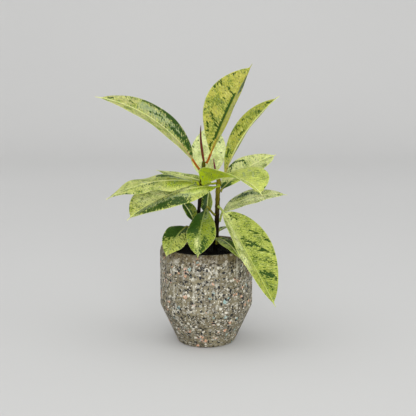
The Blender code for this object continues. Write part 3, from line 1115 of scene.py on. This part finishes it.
@dataclass(frozen=True)
class Leaf:
    """One leaf with its stalk. Places are in millimetres and angles in degrees.

    height is the stalk's on its stem, base is where the blade meets the stalk, and tip is the end of the
    drip tip. The form's fields are those of the leaf's solid: droop bends the midrib down, sway to the
    right, roll raises the left half, twist adds to it toward the tip, fold raises both halves and unfold
    takes it back. upper, under and stem_colour are the ground colours of the faces and of the stalk, and
    mottling is how thickly small flecks lie on them.
    """

    node: str
    stem: str
    height: float
    base: Place
    tip: Place
    width: float
    widest: float = 0.5
    widest_right: float = 0.0
    droop: float = 20
    sway: float = 0
    roll: float = 0
    twist: float = 0
    fold: float = 10
    unfold: float = 0
    settle: float = 1.0
    left: float = 1.0
    right: float = 1.0
    wave: float = 0.6
    waves: float = 2.5
    stalk: float = 1.6
    lift: float = 35
    upper: str = "#B8C06C"
    under: str = "#B4BA66"
    stem_colour: str = "#A8B060"
    rib: str = "#D2D894"
    mottling: float = 1.0
    marks: tuple[Mark, ...] = ()

    TIP_START = 0.955
    TIP_WIDTH = 1.4
    END_WIDTH = 0.4
    HALF_THICKNESS = 0.45 * MM
    HALF_MARGIN = 0.35 * MM
    CREASE = 1.3 * MM
    GROOVE = 0.3 * MM
    KEEL = 1.0 * MM
    KEEL_WIDTH = 1.0 * MM
    BELLY = 0.5 * MM
    BELLY_REACH = 12 * MM
    EDGE = 0.8 * MM
    THINNEST = 0.03
    FULLNESS = 0.72
    RIGHT_PHASE = 3.1
    GRAIN = 1.25
    COLUMN_GRAIN = 1.1
    LEAST_STEPS = 20
    LEAST_COLUMNS = 8
    MARGIN_GAP = 0.35
    SWELLING = 0.3
    SWELLING_END = 0.22
    NEAR_RIB = (0.4, 0.85, 1.5)
    STALK_STEPS = 14
    GAP = 0.3 * MM
    MEASURES = 40
    RIB_HALF = 0.35
    RIB_EDGE = 1.0
    RIB_FADE = 0.3
    NECK = 0.03
    PATTERN_SHIFT = 310.0
    MOST_DARK = 2.0
    MOST_GREY = 1.2
    # Tints that marks paint into the ground: painted light coming through the leaves, pale tissue, and
    # painted shade under the crown
    TINTS = ((Tone.PAINTED_THROUGH_LIGHT, "#9CB000"), (Tone.PALE, "#E2E6A8"), (Tone.PAINTED_CROWN_SHADE, "#6C7806"))

    def midrib(self, s: float) -> tuple[Vector, Vector]:
        """Return the midrib's place and direction at the share s from base to tip."""
        base = Vector(self.base) * MM
        tip = Vector(self.tip) * MM
        chord = tip - base
        level = Vector((-chord.y, chord.x, 0)).normalized()
        over = chord.cross(level) * math.tan(math.radians(self.droop) / 2)
        aside = level * chord.length * math.tan(math.radians(self.sway) / 2)
        bow = (base + tip + over + aside) / 2
        place = base * (1 - s) ** 2 + bow * 2 * s * (1 - s) + tip * s**2
        return place, ((bow - base) * (1 - s) + (tip - bow) * s).normalized()

    def half_width(self, s: float, widest: float) -> float:
        """Return the half width in metres at the share s of a half that is widest at a given share."""
        body = 0.0
        if s < self.TIP_START:
            part = (s / self.TIP_START) ** (math.log(0.5) / math.log(widest))
            body = self.width / 2 * math.sin(math.pi * part) ** self.FULLNESS
        drip = 0.0
        if s > 0.5:
            drip = self.TIP_WIDTH * min(1.0, (1.0 - s) / (1.0 - self.TIP_START))
        return max(body, drip, self.END_WIDTH) * MM

    def section(self, s: float) -> Section:
        """Return the blade's frame and sizes at the share s."""
        place, along = self.midrib(s)
        settled = 1 - (1 - s) ** self.settle
        roll = math.radians(self.roll + self.twist * settled)
        level = Vector((-along.y, along.x, 0)).normalized()
        left = level * math.cos(roll) + along.cross(level) * math.sin(roll)
        fold = math.radians(self.fold - self.unfold * settled)
        reach_left = self.half_width(s, self.widest) * self.left
        reach_right = self.half_width(s, self.widest_right or self.widest) * self.right
        return Section(s, place, along, left, along.cross(left), fold, reach_left, reach_right)

    def point(self, section: Section, v: float, upper: bool) -> Vector:
        """Return a point of the blade's skin.

        Args:
            section: the section that the point lies in.
            v: its share of the half width, below 0 on the right half.
            upper: whether it is on the upper face.

        Returns:
            The point in metres.
        """
        side = 1.0 if v >= 0 else -1.0
        whole = section.reach(v)
        reach = whole * abs(v)
        rounded = math.hypot(reach, self.CREASE)
        lean = section.fold * reach / rounded
        out = section.up * math.cos(lean) - section.left * side * math.sin(lean)
        s = section.share
        phase = math.tau * self.waves * s + (0.0 if v > 0 else self.RIGHT_PHASE)
        ripple = self.wave * MM * v * v * math.sin(phase) * math.sin(math.pi * s)
        belly = self.BELLY * math.sin(math.pi * abs(v)) * min(1.0, whole / self.BELLY_REACH)
        edge = min(0.9, self.EDGE / max(whole, self.EDGE))
        end = max(0.0, (abs(v) - (1 - edge)) / edge)
        thickness = self.HALF_THICKNESS + (self.HALF_MARGIN - self.HALF_THICKNESS) * abs(v)
        half = thickness * math.sqrt(max(self.THINNEST, 1 - end * end))
        near = math.exp(-((reach / self.KEEL_WIDTH) ** 2))
        if upper:
            height = ripple + belly + half - self.GROOVE * near * (1 - s) ** 0.5
        else:
            height = ripple + belly - half - self.KEEL * near * (1 - s) ** 1.2
        across = section.left * side * math.cos(section.fold) * reach
        rise = section.up * math.sin(section.fold) * (rounded - self.CREASE)
        return section.place + across + rise + out * height

    def shares(self, section: Section, count: int) -> list[float]:
        """Return the columns' places from 0 to 1, closer together near the midrib and at the margin."""
        reach = max(section.reach_left, section.reach_right) / MM
        places = [0.0]
        for k, near in enumerate(self.NEAR_RIB, 1):
            places.append(min(near / reach, k / (count + 1)))
        rest = count - len(self.NEAR_RIB) - 1
        start = places[-1]
        last = 1 - (1 - start) / (rest + 1)
        if reach > 3:
            last = max(start + 0.01, 1 - self.MARGIN_GAP / reach)
        for k in range(1, rest + 1):
            places.append(start + (last - start) * k / rest)
        places.append(1.0)
        return places

    def stalk_ring(self, t: float, count: int, stem: Stem, first_section: Section) -> list[Vector]:
        """Return a round section of the stalk.

        Args:
            t: the share of the stalk's way from the stem to the blade.
            count: how many points the section has.
            stem: the stem that the stalk grows from.
            first_section: the blade's section at its base.

        Returns:
            The section's points.
        """
        centre, radius = stem.at(self.height)
        away = Vector(self.base) * MM - centre
        flat = Vector((away.x, away.y, 0)).normalized()
        lift = math.radians(self.lift)
        start = flat * math.cos(lift) + Vector((0, 0, math.sin(lift)))
        first = centre + flat * (radius + self.GAP + self.stalk * MM * abs(math.sin(lift)))
        last = Vector(self.base) * MM
        pull = (last - first).length
        place = (
            first * (2 * t**3 - 3 * t**2 + 1)
            + start * pull * (t**3 - 2 * t**2 + t)
            + last * (3 * t**2 - 2 * t**3)
            + first_section.along * pull * (t**3 - t**2)
        )
        tangent = (
            first * (6 * t**2 - 6 * t)
            + start * pull * (3 * t**2 - 4 * t + 1)
            + last * (6 * t - 6 * t**2)
            + first_section.along * pull * (3 * t**2 - 2 * t)
        ).normalized()
        level = (first_section.left - tangent * first_section.left.dot(tangent)).normalized()
        rise = tangent.cross(level)
        swelling = self.SWELLING * max(0.0, 1 - t / self.SWELLING_END) ** 2
        girth = self.stalk * MM * (1 + swelling)
        ring = []
        for k in range(count):
            angle = math.radians(180 - 360 * (k + 0.5) / count)
            ring.append(place + (level * math.cos(angle) + rise * math.sin(angle)) * girth)
        return ring

    def ground(self, s: float, reach: float, upper: bool, sums: dict[Tone, float]) -> tuple[float, ...]:
        """Return the ground colour at a place on the blade.

        Args:
            s: the share of the length.
            reach: the distance from the midrib in millimetres.
            upper: whether it is on the upper face.
            sums: how strong each tone's marks are there.

        Returns:
            A linear colour.
        """
        colour = linear(self.upper if upper else self.under)
        for tone, tint in self.TINTS:
            colour = mixed(colour, linear(tint), min(1.0, sums[tone]))
        rib = mixed(linear(self.stem_colour), linear(self.rib), smooth(s / self.RIB_FADE))
        return mixed(rib, colour, smooth((reach - self.RIB_HALF) / self.RIB_EDGE))

    def build(self, number: int, stem: Stem, finish: bpy.types.Material) -> bpy.types.Object:
        """Build the leaf as one closed skin with its colours.

        Args:
            number: the leaf's number, which shifts its pattern.
            stem: the stem that it grows from.
            finish: the leaf's material.

        Returns:
            The finished piece.
        """
        spots = [self.midrib(k / self.MEASURES)[0] for k in range(self.MEASURES + 1)]
        length = sum((after - before).length for before, after in zip(spots, spots[1:])) / MM
        steps = max(self.LEAST_STEPS, round(length / self.GRAIN))
        half_count = max(self.LEAST_COLUMNS, round(self.width / 2 / self.GRAIN / self.COLUMN_GRAIN))
        first_section = self.section(0.0)
        count = 2 * (2 * half_count + 1)
        rings = []
        blade: list[tuple[float, ...]] = []
        tissue: list[tuple[float, ...]] = []
        ground: list[tuple[float, ...]] = []
        shift = self.PATTERN_SHIFT * number
        for k in range(self.STALK_STEPS):
            rings.append(self.stalk_ring(k / self.STALK_STEPS, count, stem, first_section))
            blade += [(shift - 20 + k, 0.0, 0.0)] * count
            tissue += [(0.0, 0.0, 1.0, self.mottling)] * count
            ground += [linear(self.stem_colour)] * count
        neck = self.stalk_ring(1.0, count, stem, first_section)
        ends = [self.mark_ends(mark, length) for mark in self.marks]
        for k in range(steps + 1):
            s = k / steps
            section = self.section(s)
            halves = self.shares(section, half_count)
            columns = [-h for h in halves[:0:-1]] + halves
            blend = smooth(s / self.NECK)
            ring = []
            for upper in (True, False):
                for v in columns if upper else columns[::-1]:
                    place = (s * length, v * section.reach(v) / MM)
                    ring.append(self.point(section, v, upper))
                    sums = {tone: 0.0 for tone in Tone}
                    for mark, mark_end in zip(self.marks, ends):
                        sums[mark.tone] += mark.weight(place, mark_end)
                    on_rib = 1 - smooth((abs(place[1]) - self.RIB_HALF) / self.RIB_EDGE)
                    blade.append((shift + place[0], place[1], v))
                    dark_sum = min(self.MOST_DARK, sums[Tone.DARK])
                    grey_sheen_sum = min(self.MOST_GREY, sums[Tone.GREY])
                    tissue.append((dark_sum, grey_sheen_sum, on_rib, self.mottling))
                    ground.append(self.ground(s, abs(place[1]), upper, sums))
            rings.append([a.lerp(b, blend) for a, b in zip(neck, ring)])
        mesh = loft(f"{self.node}_skin", rings)
        store(mesh, "blade", "FLOAT_VECTOR", blade)
        store(mesh, "tissue", "FLOAT_COLOR", tissue)
        store(mesh, "ground", "FLOAT_COLOR", ground)
        mesh.materials.append(finish)
        piece = new_piece(f"{self.node}_skin", mesh)
        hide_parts(self.node)
        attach(piece, BODY)
        return piece

    def mark_ends(self, mark: Mark, length: float) -> tuple[Spot, Spot]:
        """Return a mark's two ends in millimetres along and across the blade."""
        ends = []
        for s, v in ((mark.s, mark.v), (mark.s2, mark.v2)):
            ends.append((s * length, v * self.section(s).reach(v) / MM))
        return ends[0], ends[1]


ORANGE = "#9E5A0E"
OLIVE = "#7C7A2A"
PALE_GREEN = "#AEBB62"
LIT_GREEN = "#98A418"

STEMS = {
    "stem_1": Stem(
        "stem_1",
        "stem",
        (
            (-16, 2, 95, 2.9),
            (-16, 2, 132, 2.9),
            (-14.5, 2, 150, 2.7),
            (-12.5, 2, 170, 2.6),
            (-9.5, 1, 204, 2.5),
            (-7, 0, 232, 2.6),
            (-4.5, 0, 250, 2.8),
            (-3.5, 0, 262, 2.3),
        ),
        (140, 150, 166, 190, 205, 220, 232, 243, 250, 257),
    ),
    "stem_2": Stem(
        "stem_2",
        "stem",
        (
            (13, 8, 95, 3.6),
            (13, 8, 132, 3.6),
            (14, 8, 150, 3.4),
            (15, 8, 173, 3.3),
            (16, 8, 202, 3.2),
            (16.5, 8, 219, 3.2),
            (17.5, 8, 233, 3.1),
            (13, 8, 247, 2.2),
        ),
        (142, 154, 163, 173, 184, 196, 206, 217, 228, 239),
    ),
}

BARKS = {
    "stem_1": StemBark("brown_bark", 198 * MM, 240 * MM, crown="#4A4A0C"),
    "stem_2": StemBark("young_bark", 165 * MM, 212 * MM),
}

SHEATHS = (
    (
        Stem(
            "sheath_1",
            "sheath",
            (
                (-3.5, 0, 262.6, 1.4),
                (-5.5, 0, 274, 1.8),
                (-7.5, 1, 290, 1.6),
                (-8, 2, 304, 1.0),
                (-7.5, 2, 313, 0.4),
            ),
            roughness=0.04,
        ),
        SheathSkin("rolled_leaf_skin", "#602406", "#4C1606", 262.6 * MM, 313 * MM),
    ),
    (
        Stem(
            "sheath_2",
            "sheath",
            ((12.8, 8, 247.6, 1.3), (12, 8, 253, 1.3), (11, 8, 259, 0.9), (10.5, 8, 265, 0.4)),
            roughness=0.04,
        ),
        SheathSkin("rolled_leaf_skin_dark", "#5E2426", "#7A3040", 247.6 * MM, 265 * MM),
    ),
)

# In the leaves below, the through-light marks paint light that comes through the leaves, the crown-shade
# marks paint shade under the crown, and the grey marks paint grey-green tissue with sheen on it
LEAVES = (
    Leaf(
        "leaf_top_left", "stem_1", 250, (-20, -2, 266), (-153, -15, 355), 51,
        widest=0.43, droop=46, roll=-30, fold=18, lift=45,
        upper="#A8A96A", under="#B6BC74", stem_colour=ORANGE,
        marks=(
            dark(0.60, -1.0, 0.30, -0.92, 4.0, 1.1),
            dark(0.34, -0.90, 0.05, -0.50, 6.5, 1.1),
            dark(0.44, -0.45, 0.16, -0.30, 3.0, 0.55),
            grey(0.60, -0.50, 0.26, -0.50, 7.5),
            grey(0.28, -0.45, 0.14, -0.40, 4.0, 0.8),
            dark(0.90, -0.40, 0.86, -0.55, 1.3),
            dark(0.73, -0.55, 0.69, -0.45, 1.2),
            # Painted shadow along the midrib
            dark(0.46, -0.05, 0.34, -0.06, 1.0, 0.7),
            dark(0.56, -0.30, 0.42, -0.50, 1.5, 0.9),
            dark(0.36, -0.25, 0.22, -0.40, 1.7, 0.9),
        ),
    ),
    Leaf(
        "leaf_top_middle", "stem_1", 260, (6, -3, 273), (62, -40, 402), 69,
        widest=0.57, widest_right=0.59, left=0.55, right=1.08,
        droop=6, sway=-8, roll=-20, fold=30, lift=55,
        upper="#B2B654", under="#B0AC4C", stem_colour=ORANGE, rib="#9C9C40",
        marks=(
            dark(0.83, -0.85, 0.86, -0.83, 1.6),
            dark(0.75, -1.0, 0.66, -0.92, 2.2),
            dark(0.73, -0.85, 0.70, -0.72, 1.3),
            dark(0.71, -0.48, 0.66, -0.15, 1.5),
            dark(0.41, -0.62, 0.31, -0.30, 2.4),
            dark(0.30, -0.78, 0.23, -0.70, 1.7),
            dark(0.12, -0.42, 0.05, -0.80, 1.6),
            dark(0.82, 0.50, 0.70, 0.50, 5.0, 1.8),
            dark(0.66, -0.07, 0.20, -0.09, 2.2, 1.6),
            dark(0.58, 0.05, 0.30, -0.03, 1.6, 1.0),
            dark(0.36, -0.05, 0.14, -0.22, 1.9),
        ),
    ),
    Leaf(
        "leaf_top_right", "stem_2", 239, (26, 6, 243), (100, -25, 357), 37,
        widest=0.55, droop=32, roll=-28, fold=36, lift=40,
        upper="#A6AB48", under="#9FA040", stem_colour="#A0862E",
        marks=(
            dark(0.86, -0.60, 0.91, -0.20, 1.3),
            dark(0.76, -0.34, 0.71, -0.25, 1.7),
            dark(0.66, -0.34, 0.64, -0.30, 1.4),
            dark(0.50, -0.22, 0.42, -0.32, 1.7),
            dark(0.26, -0.70, 0.17, -0.60, 1.4),
            dark(0.60, -0.75, 0.40, -0.85, 1.8, 0.8),
            dark(0.92, 0.50, 0.60, 0.70, 1.6, 0.7),
        ),
    ),
    Leaf(
        "leaf_back", "stem_1", 236, (0, 16, 235), (8, 62, 309), 52,
        widest=0.45, droop=20, fold=6, lift=10,
        upper="#D8E0A4", under="#C6CE86", stem_colour=PALE_GREEN, mottling=0.35,
        marks=(
            dark(0.65, 0.78, 0.64, 0.74, 1.5, 1.5),
            dark(0.53, 0.90, 0.51, 0.86, 1.3, 1.5),
            dark(0.63, -0.66, 0.61, -0.70, 1.3, 1.5),
            dark(0.43, -0.72, 0.42, -0.76, 1.3, 1.4),
            dark(0.52, -0.38, 0.51, -0.42, 0.9),
            dark(0.34, -0.62, 0.31, -0.70, 0.9),
        ),
    ),
    Leaf(
        "leaf_left_upper", "stem_1", 220, (-14, -9, 234), (-138, -50, 217), 46,
        widest=0.5, widest_right=0.6, left=1.15, right=1.2,
        droop=40, roll=-26, twist=26, fold=-10, unfold=-8, wave=2.5,
        upper="#B9C06E", under="#A9B25A", stem_colour=LIT_GREEN,
        marks=(
            # Painted shadow where the back half folds over, along its margin
            dark(0.38, -0.74, 0.16, -0.84, 3.0, 1.7),
            grey(0.24, -0.60, 0.06, -0.20, 3.4),
            dark(0.98, 0.80, 0.80, 0.95, 1.2),
            dark(0.80, 0.98, 0.69, 0.92, 1.8),
            grey(0.58, -0.20, 0.54, -0.10, 2.6),
            dark(0.62, 0.30, 0.44, 0.10, 3.5, 0.55),
            through_light(0.30, 0.40, 0.02, 0.2, 8.0),
            crown_shade(0.28, -0.16, 0.02, 0.1, 7.5, 1.0),
            crown_shade(0.46, 0.10, 0.14, 0.20, 9.0, 0.4),
        ),
    ),
    Leaf(
        "leaf_left_front", "stem_2", 227, (16, -11, 228.5), (-109, -54, 189), 66,
        widest=0.56, widest_right=0.74, droop=42, roll=-18, fold=-12, unfold=-32, left=1.15, lift=0,
        upper="#BCC266", under="#A8B058", stem_colour=LIT_GREEN,
        marks=(
            dark(0.72, -0.86, 0.64, -0.82, 1.6),
            dark(0.64, -0.82, 0.56, -0.68, 1.9),
            dark(0.56, -0.66, 0.46, -0.30, 1.9),
            grey(0.86, 0.42, 0.36, 0.46, 6.5, 1.1),
            dark(0.84, 0.55, 0.90, 0.20, 2.2, 0.9),
            dark(0.66, 0.50, 0.44, 0.48, 4.5, 0.6),
            dark(0.80, 0.80, 0.44, 0.80, 12.5, 1.2),
            # Partly pale tissue and partly painted light: this broad mark and the light upper ground
            # brighten the back half where the upper leaf shades it
            pale(0.74, -0.42, 0.36, -0.50, 13.0, 0.9),
            pale(0.30, 0.55, 0.16, 0.60, 5.5, 0.5),
            through_light(0.28, 0.20, 0.02, 0.0, 11.0),
            crown_shade(0.18, 0.10, 0.02, 0.0, 6.0, 0.3),
            through_light(0.20, -0.40, 0.02, -0.2, 8.0),
        ),
    ),
    Leaf(
        "leaf_left_rear", "stem_2", 229, (7, 12, 228), (-73, 50, 241), 36,
        widest=0.4, droop=5, roll=-34, twist=32, fold=3, left=1.2, right=0.5, lift=0,
        upper="#C4CE7E", under="#8C9A20", stem_colour=LIT_GREEN,
        marks=(crown_shade(0.34, 0.55, 0.02, 0.2, 9.0, 0.9), through_light(0.30, 0.1, 0.02, 0.0, 7.0, 0.7)),
    ),
    Leaf(
        "leaf_right_front", "stem_1", 232, (-3.5, -11, 231), (75, -90, 231), 74,
        widest=0.64, widest_right=0.4, droop=62, sway=20, roll=-27, twist=24, fold=36, unfold=16,
        settle=5, left=1.08, right=1.02, lift=10,
        # The saturated yellow-green underside is painted light that comes through the leaf
        upper="#B4BE5E", under="#B8CC08", stem_colour=LIT_GREEN, mottling=0.7,
        marks=(
            through_light(0.02, -0.5, 0.34, -0.5, 14.0, 0.6),
            crown_shade(0.06, -0.12, 0.30, -0.10, 6.0, 0.25),
            grey(0.52, 0.40, 0.60, 0.20, 1.4, 0.9),
            grey(0.62, 0.55, 0.68, 0.38, 1.4, 0.9),
            grey(0.50, 0.70, 0.58, 0.60, 1.2, 0.8),
            dark(0.93, 0.88, 0.91, 0.92, 1.5),
            dark(0.72, 0.15, 0.69, 0.12, 1.1, 0.8),
        ),
    ),
    Leaf(
        "leaf_right_rear", "stem_2", 217, (22, 10, 220), (102, 60, 262), 48,
        widest=0.47, widest_right=0.57, droop=30, roll=20, fold=12, left=0.92, lift=30,
        upper="#BEC481", under="#A9B25A", stem_colour=OLIVE, mottling=0.8,
        marks=(
            dark(0.02, 0.30, 0.10, -0.40, 6.5, 2.0),
            through_light(0.08, -0.80, 0.26, -0.70, 6.0, 0.8),
            dark(0.30, 0.94, 0.41, 0.94, 1.5, 1.4),
            dark(0.41, 0.94, 0.54, 0.66, 1.5, 1.4),
            dark(0.54, 0.66, 0.51, 0.30, 1.4, 1.3),
            dark(0.28, 0.55, 0.36, 0.86, 1.4, 1.3),
            dark(0.69, -0.88, 0.67, -0.94, 1.4),
        ),
    ),
    Leaf(
        "leaf_right_lower", "stem_2", 173, (25, 16, 187), (117, 30, 208), 43,
        widest=0.45, droop=45, roll=14, fold=3, lift=55,
        upper="#C6CB90", under="#B4BC74", stem_colour=PALE_GREEN,
        marks=(
            dark(0.30, 0.60, 0.48, 0.48, 4.0, 0.95),
            pale(0.10, -0.60, 0.70, -0.70, 5.0, 0.8),
            grey(0.26, 0.66, 0.50, 0.56, 5.0, 1.1),
            grey(0.50, 0.50, 0.58, 0.12, 3.4),
            dark(0.12, 0.50, 0.24, 0.80, 1.2, 0.8),
            dark(0.36, 0.75, 0.42, 0.70, 1.6, 0.8),
            dark(0.85, -0.80, 0.87, -0.30, 1.0),
            dark(0.69, -0.40, 0.68, -0.50, 0.9),
        ),
    ),
    Leaf(
        "leaf_right_drooping", "stem_2", 196, (24, -10, 191), (95, -85, 74), 76,
        widest=0.44, droop=6, roll=6, fold=40, unfold=12, right=0.95, lift=-10,
        upper="#A4AE4C", under="#ACB75C", stem_colour=PALE_GREEN, rib="#B8C26E",
        marks=(
            pale(0.02, -0.50, 0.55, -0.70, 12.0, 0.95),
            crown_shade(0.68, 0.40, 0.98, 0.10, 14.0, 0.4),
            dark(0.30, 0.10, 0.40, 0.45, 1.8, 0.9),
            dark(0.50, 0.15, 0.60, 0.60, 2.2, 0.8),
            dark(0.28, 0.55, 0.33, 0.75, 1.8, 0.9),
            dark(0.62, 0.70, 0.66, 0.95, 2.4, 0.9),
            dark(0.78, 0.25, 0.84, 0.50, 2.2, 0.8),
            dark(0.48, 0.48, 0.50, 0.66, 1.9, 1.2),
            dark(0.37, 0.12, 0.40, 0.26, 2.0, 1.2),
            dark(0.10, 0.28, 0.12, 0.48, 2.0),
            dark(0.04, 0.36, 0.07, 0.44, 1.3),
            dark(0.38, 0.82, 0.46, 1.0, 1.5),
            dark(0.36, 0.26, 0.44, 0.50, 1.4),
            dark(0.44, 0.50, 0.52, 0.72, 1.5),
            dark(0.57, 0.95, 0.58, 0.93, 1.5),
            dark(0.67, 0.22, 0.74, 0.70, 4.4, 1.25),
            dark(0.77, 0.88, 0.78, 0.86, 1.8),
            dark(0.69, -0.20, 0.73, -0.12, 1.0, 0.8),
        ),
    ),
    Leaf(
        "leaf_front_hanging", "stem_2", 184, (1, -3, 197), (-12, -76, 140), 42,
        widest=0.66, droop=58, fold=10, left=1.08, right=0.9, wave=2.8, lift=30,
        upper="#7E8E20", under="#8E9A4A", stem_colour=OLIVE, rib="#84944A",
        marks=(
            dark(0.22, -0.55, 0.58, -0.72, 7.5, 1.15),
            dark(0.12, -0.20, 0.30, -0.30, 5.0, 0.8),
            crown_shade(0.42, -0.40, 0.62, -0.34, 8.5, 1.0),
            dark(0.42, -0.42, 0.62, -0.32, 7.0, 0.75),
            grey(0.14, 0.25, 0.34, 0.10, 6.0, 0.95),
            dark(0.74, 0.40, 0.90, 0.50, 6.0, 1.0),
            dark(0.56, 0.85, 0.66, 0.80, 3.0, 0.6),
            pale(0.62, -0.20, 0.98, -0.30, 4.0, 0.7),
        ),
    ),
    Leaf(
        "leaf_rim_left", "stem_1", 150, (-29, -12, 170), (-56, -50, 136), 42,
        widest=0.45, droop=40, roll=-20, fold=10, right=0.86, wave=2.0, lift=45,
        upper="#B2BA5C", under="#8E9A4A", stem_colour=OLIVE, rib="#94A254",
        marks=(
            dark(0.10, -0.40, 0.48, -0.70, 8.0, 1.7),
            dark(0.05, 0.0, 0.30, -0.10, 5.0, 1.7),
            dark(0.10, 0.50, 0.30, 0.80, 5.0, 0.8),
            dark(0.60, 0.20, 0.66, 0.50, 1.4, 0.7),
            dark(0.45, 0.50, 0.52, 0.80, 1.5, 0.7),
        ),
    ),
    Leaf(
        "leaf_rim_right", "stem_2", 142, (15, 0, 151), (47, -62, 136), 24,
        widest=0.45, droop=40, roll=10, fold=15, left=0.6, stalk=1.3, lift=45,
        upper="#94A650", under="#8FA04C", stem_colour=OLIVE,
        marks=(
            dark(0.20, 0.35, 0.60, 0.35, 4.4, 1.2),
            dark(0.20, -0.30, 0.50, -0.20, 2.6, 0.8),
            dark(0.55, 0.20, 0.75, 0.10, 2.6, 0.7),
        ),
    ),
    Leaf(
        "leaf_inner_left", "stem_1", 166, (-18, -5, 178), (-36, 0, 206), 26,
        widest=0.45, droop=20, roll=-30, fold=25, right=0.9, stalk=1.2, wave=0.3, lift=45,
        upper="#6A741E", under="#7C8A3C", stem_colour=OLIVE,
        marks=(dark(0.15, 0.60, 0.90, 0.50, 7.0, 1.8), dark(0.5, -0.7, 0.8, -0.6, 3.0, 0.7)),
    ),
    Leaf(
        "leaf_inner_middle", "stem_2", 170, (1, 13, 185), (4, 18, 217), 23,
        widest=0.45, droop=10, fold=25, stalk=1.2, wave=0.3, lift=30,
        upper="#7C8C34", under="#74842E", stem_colour=OLIVE,
        marks=(dark(0.15, 0.45, 0.75, 0.45, 4.5, 1.7),),
    ),
    Leaf(
        "leaf_inner_right", "stem_2", 154, (18, 15, 158), (31, 36, 160), 11,
        widest=0.45, droop=20, fold=10, stalk=1.2, wave=0.3, lift=30,
        upper="#8A9450", under="#7E8A46", stem_colour=OLIVE,
        marks=(dark(0.3, 0.3, 0.6, 0.4, 2.5),),
    ),
)


def main() -> None:
    """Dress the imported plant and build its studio."""
    logging.basicConfig(level=logging.INFO, format="%(message)s")
    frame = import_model()
    Studio().build()
    pieces = [Pot().build(), Soil().build(frame["nodes"]["soil"])]
    for name, stem in STEMS.items():
        pieces.append(stem.build(BARKS[name].material()))
    for sheath, skin in SHEATHS:
        pieces.append(sheath.build(skin.material()))
    tissue = LeafTissue().material()
    for number, leaf in enumerate(LEAVES, 1):
        pieces.append(leaf.build(number, STEMS[leaf.stem], tissue))
    for piece in pieces:
        log.info("%s: %d faces", piece.name, len(piece.data.polygons))


if __name__ == "__main__":
    main()
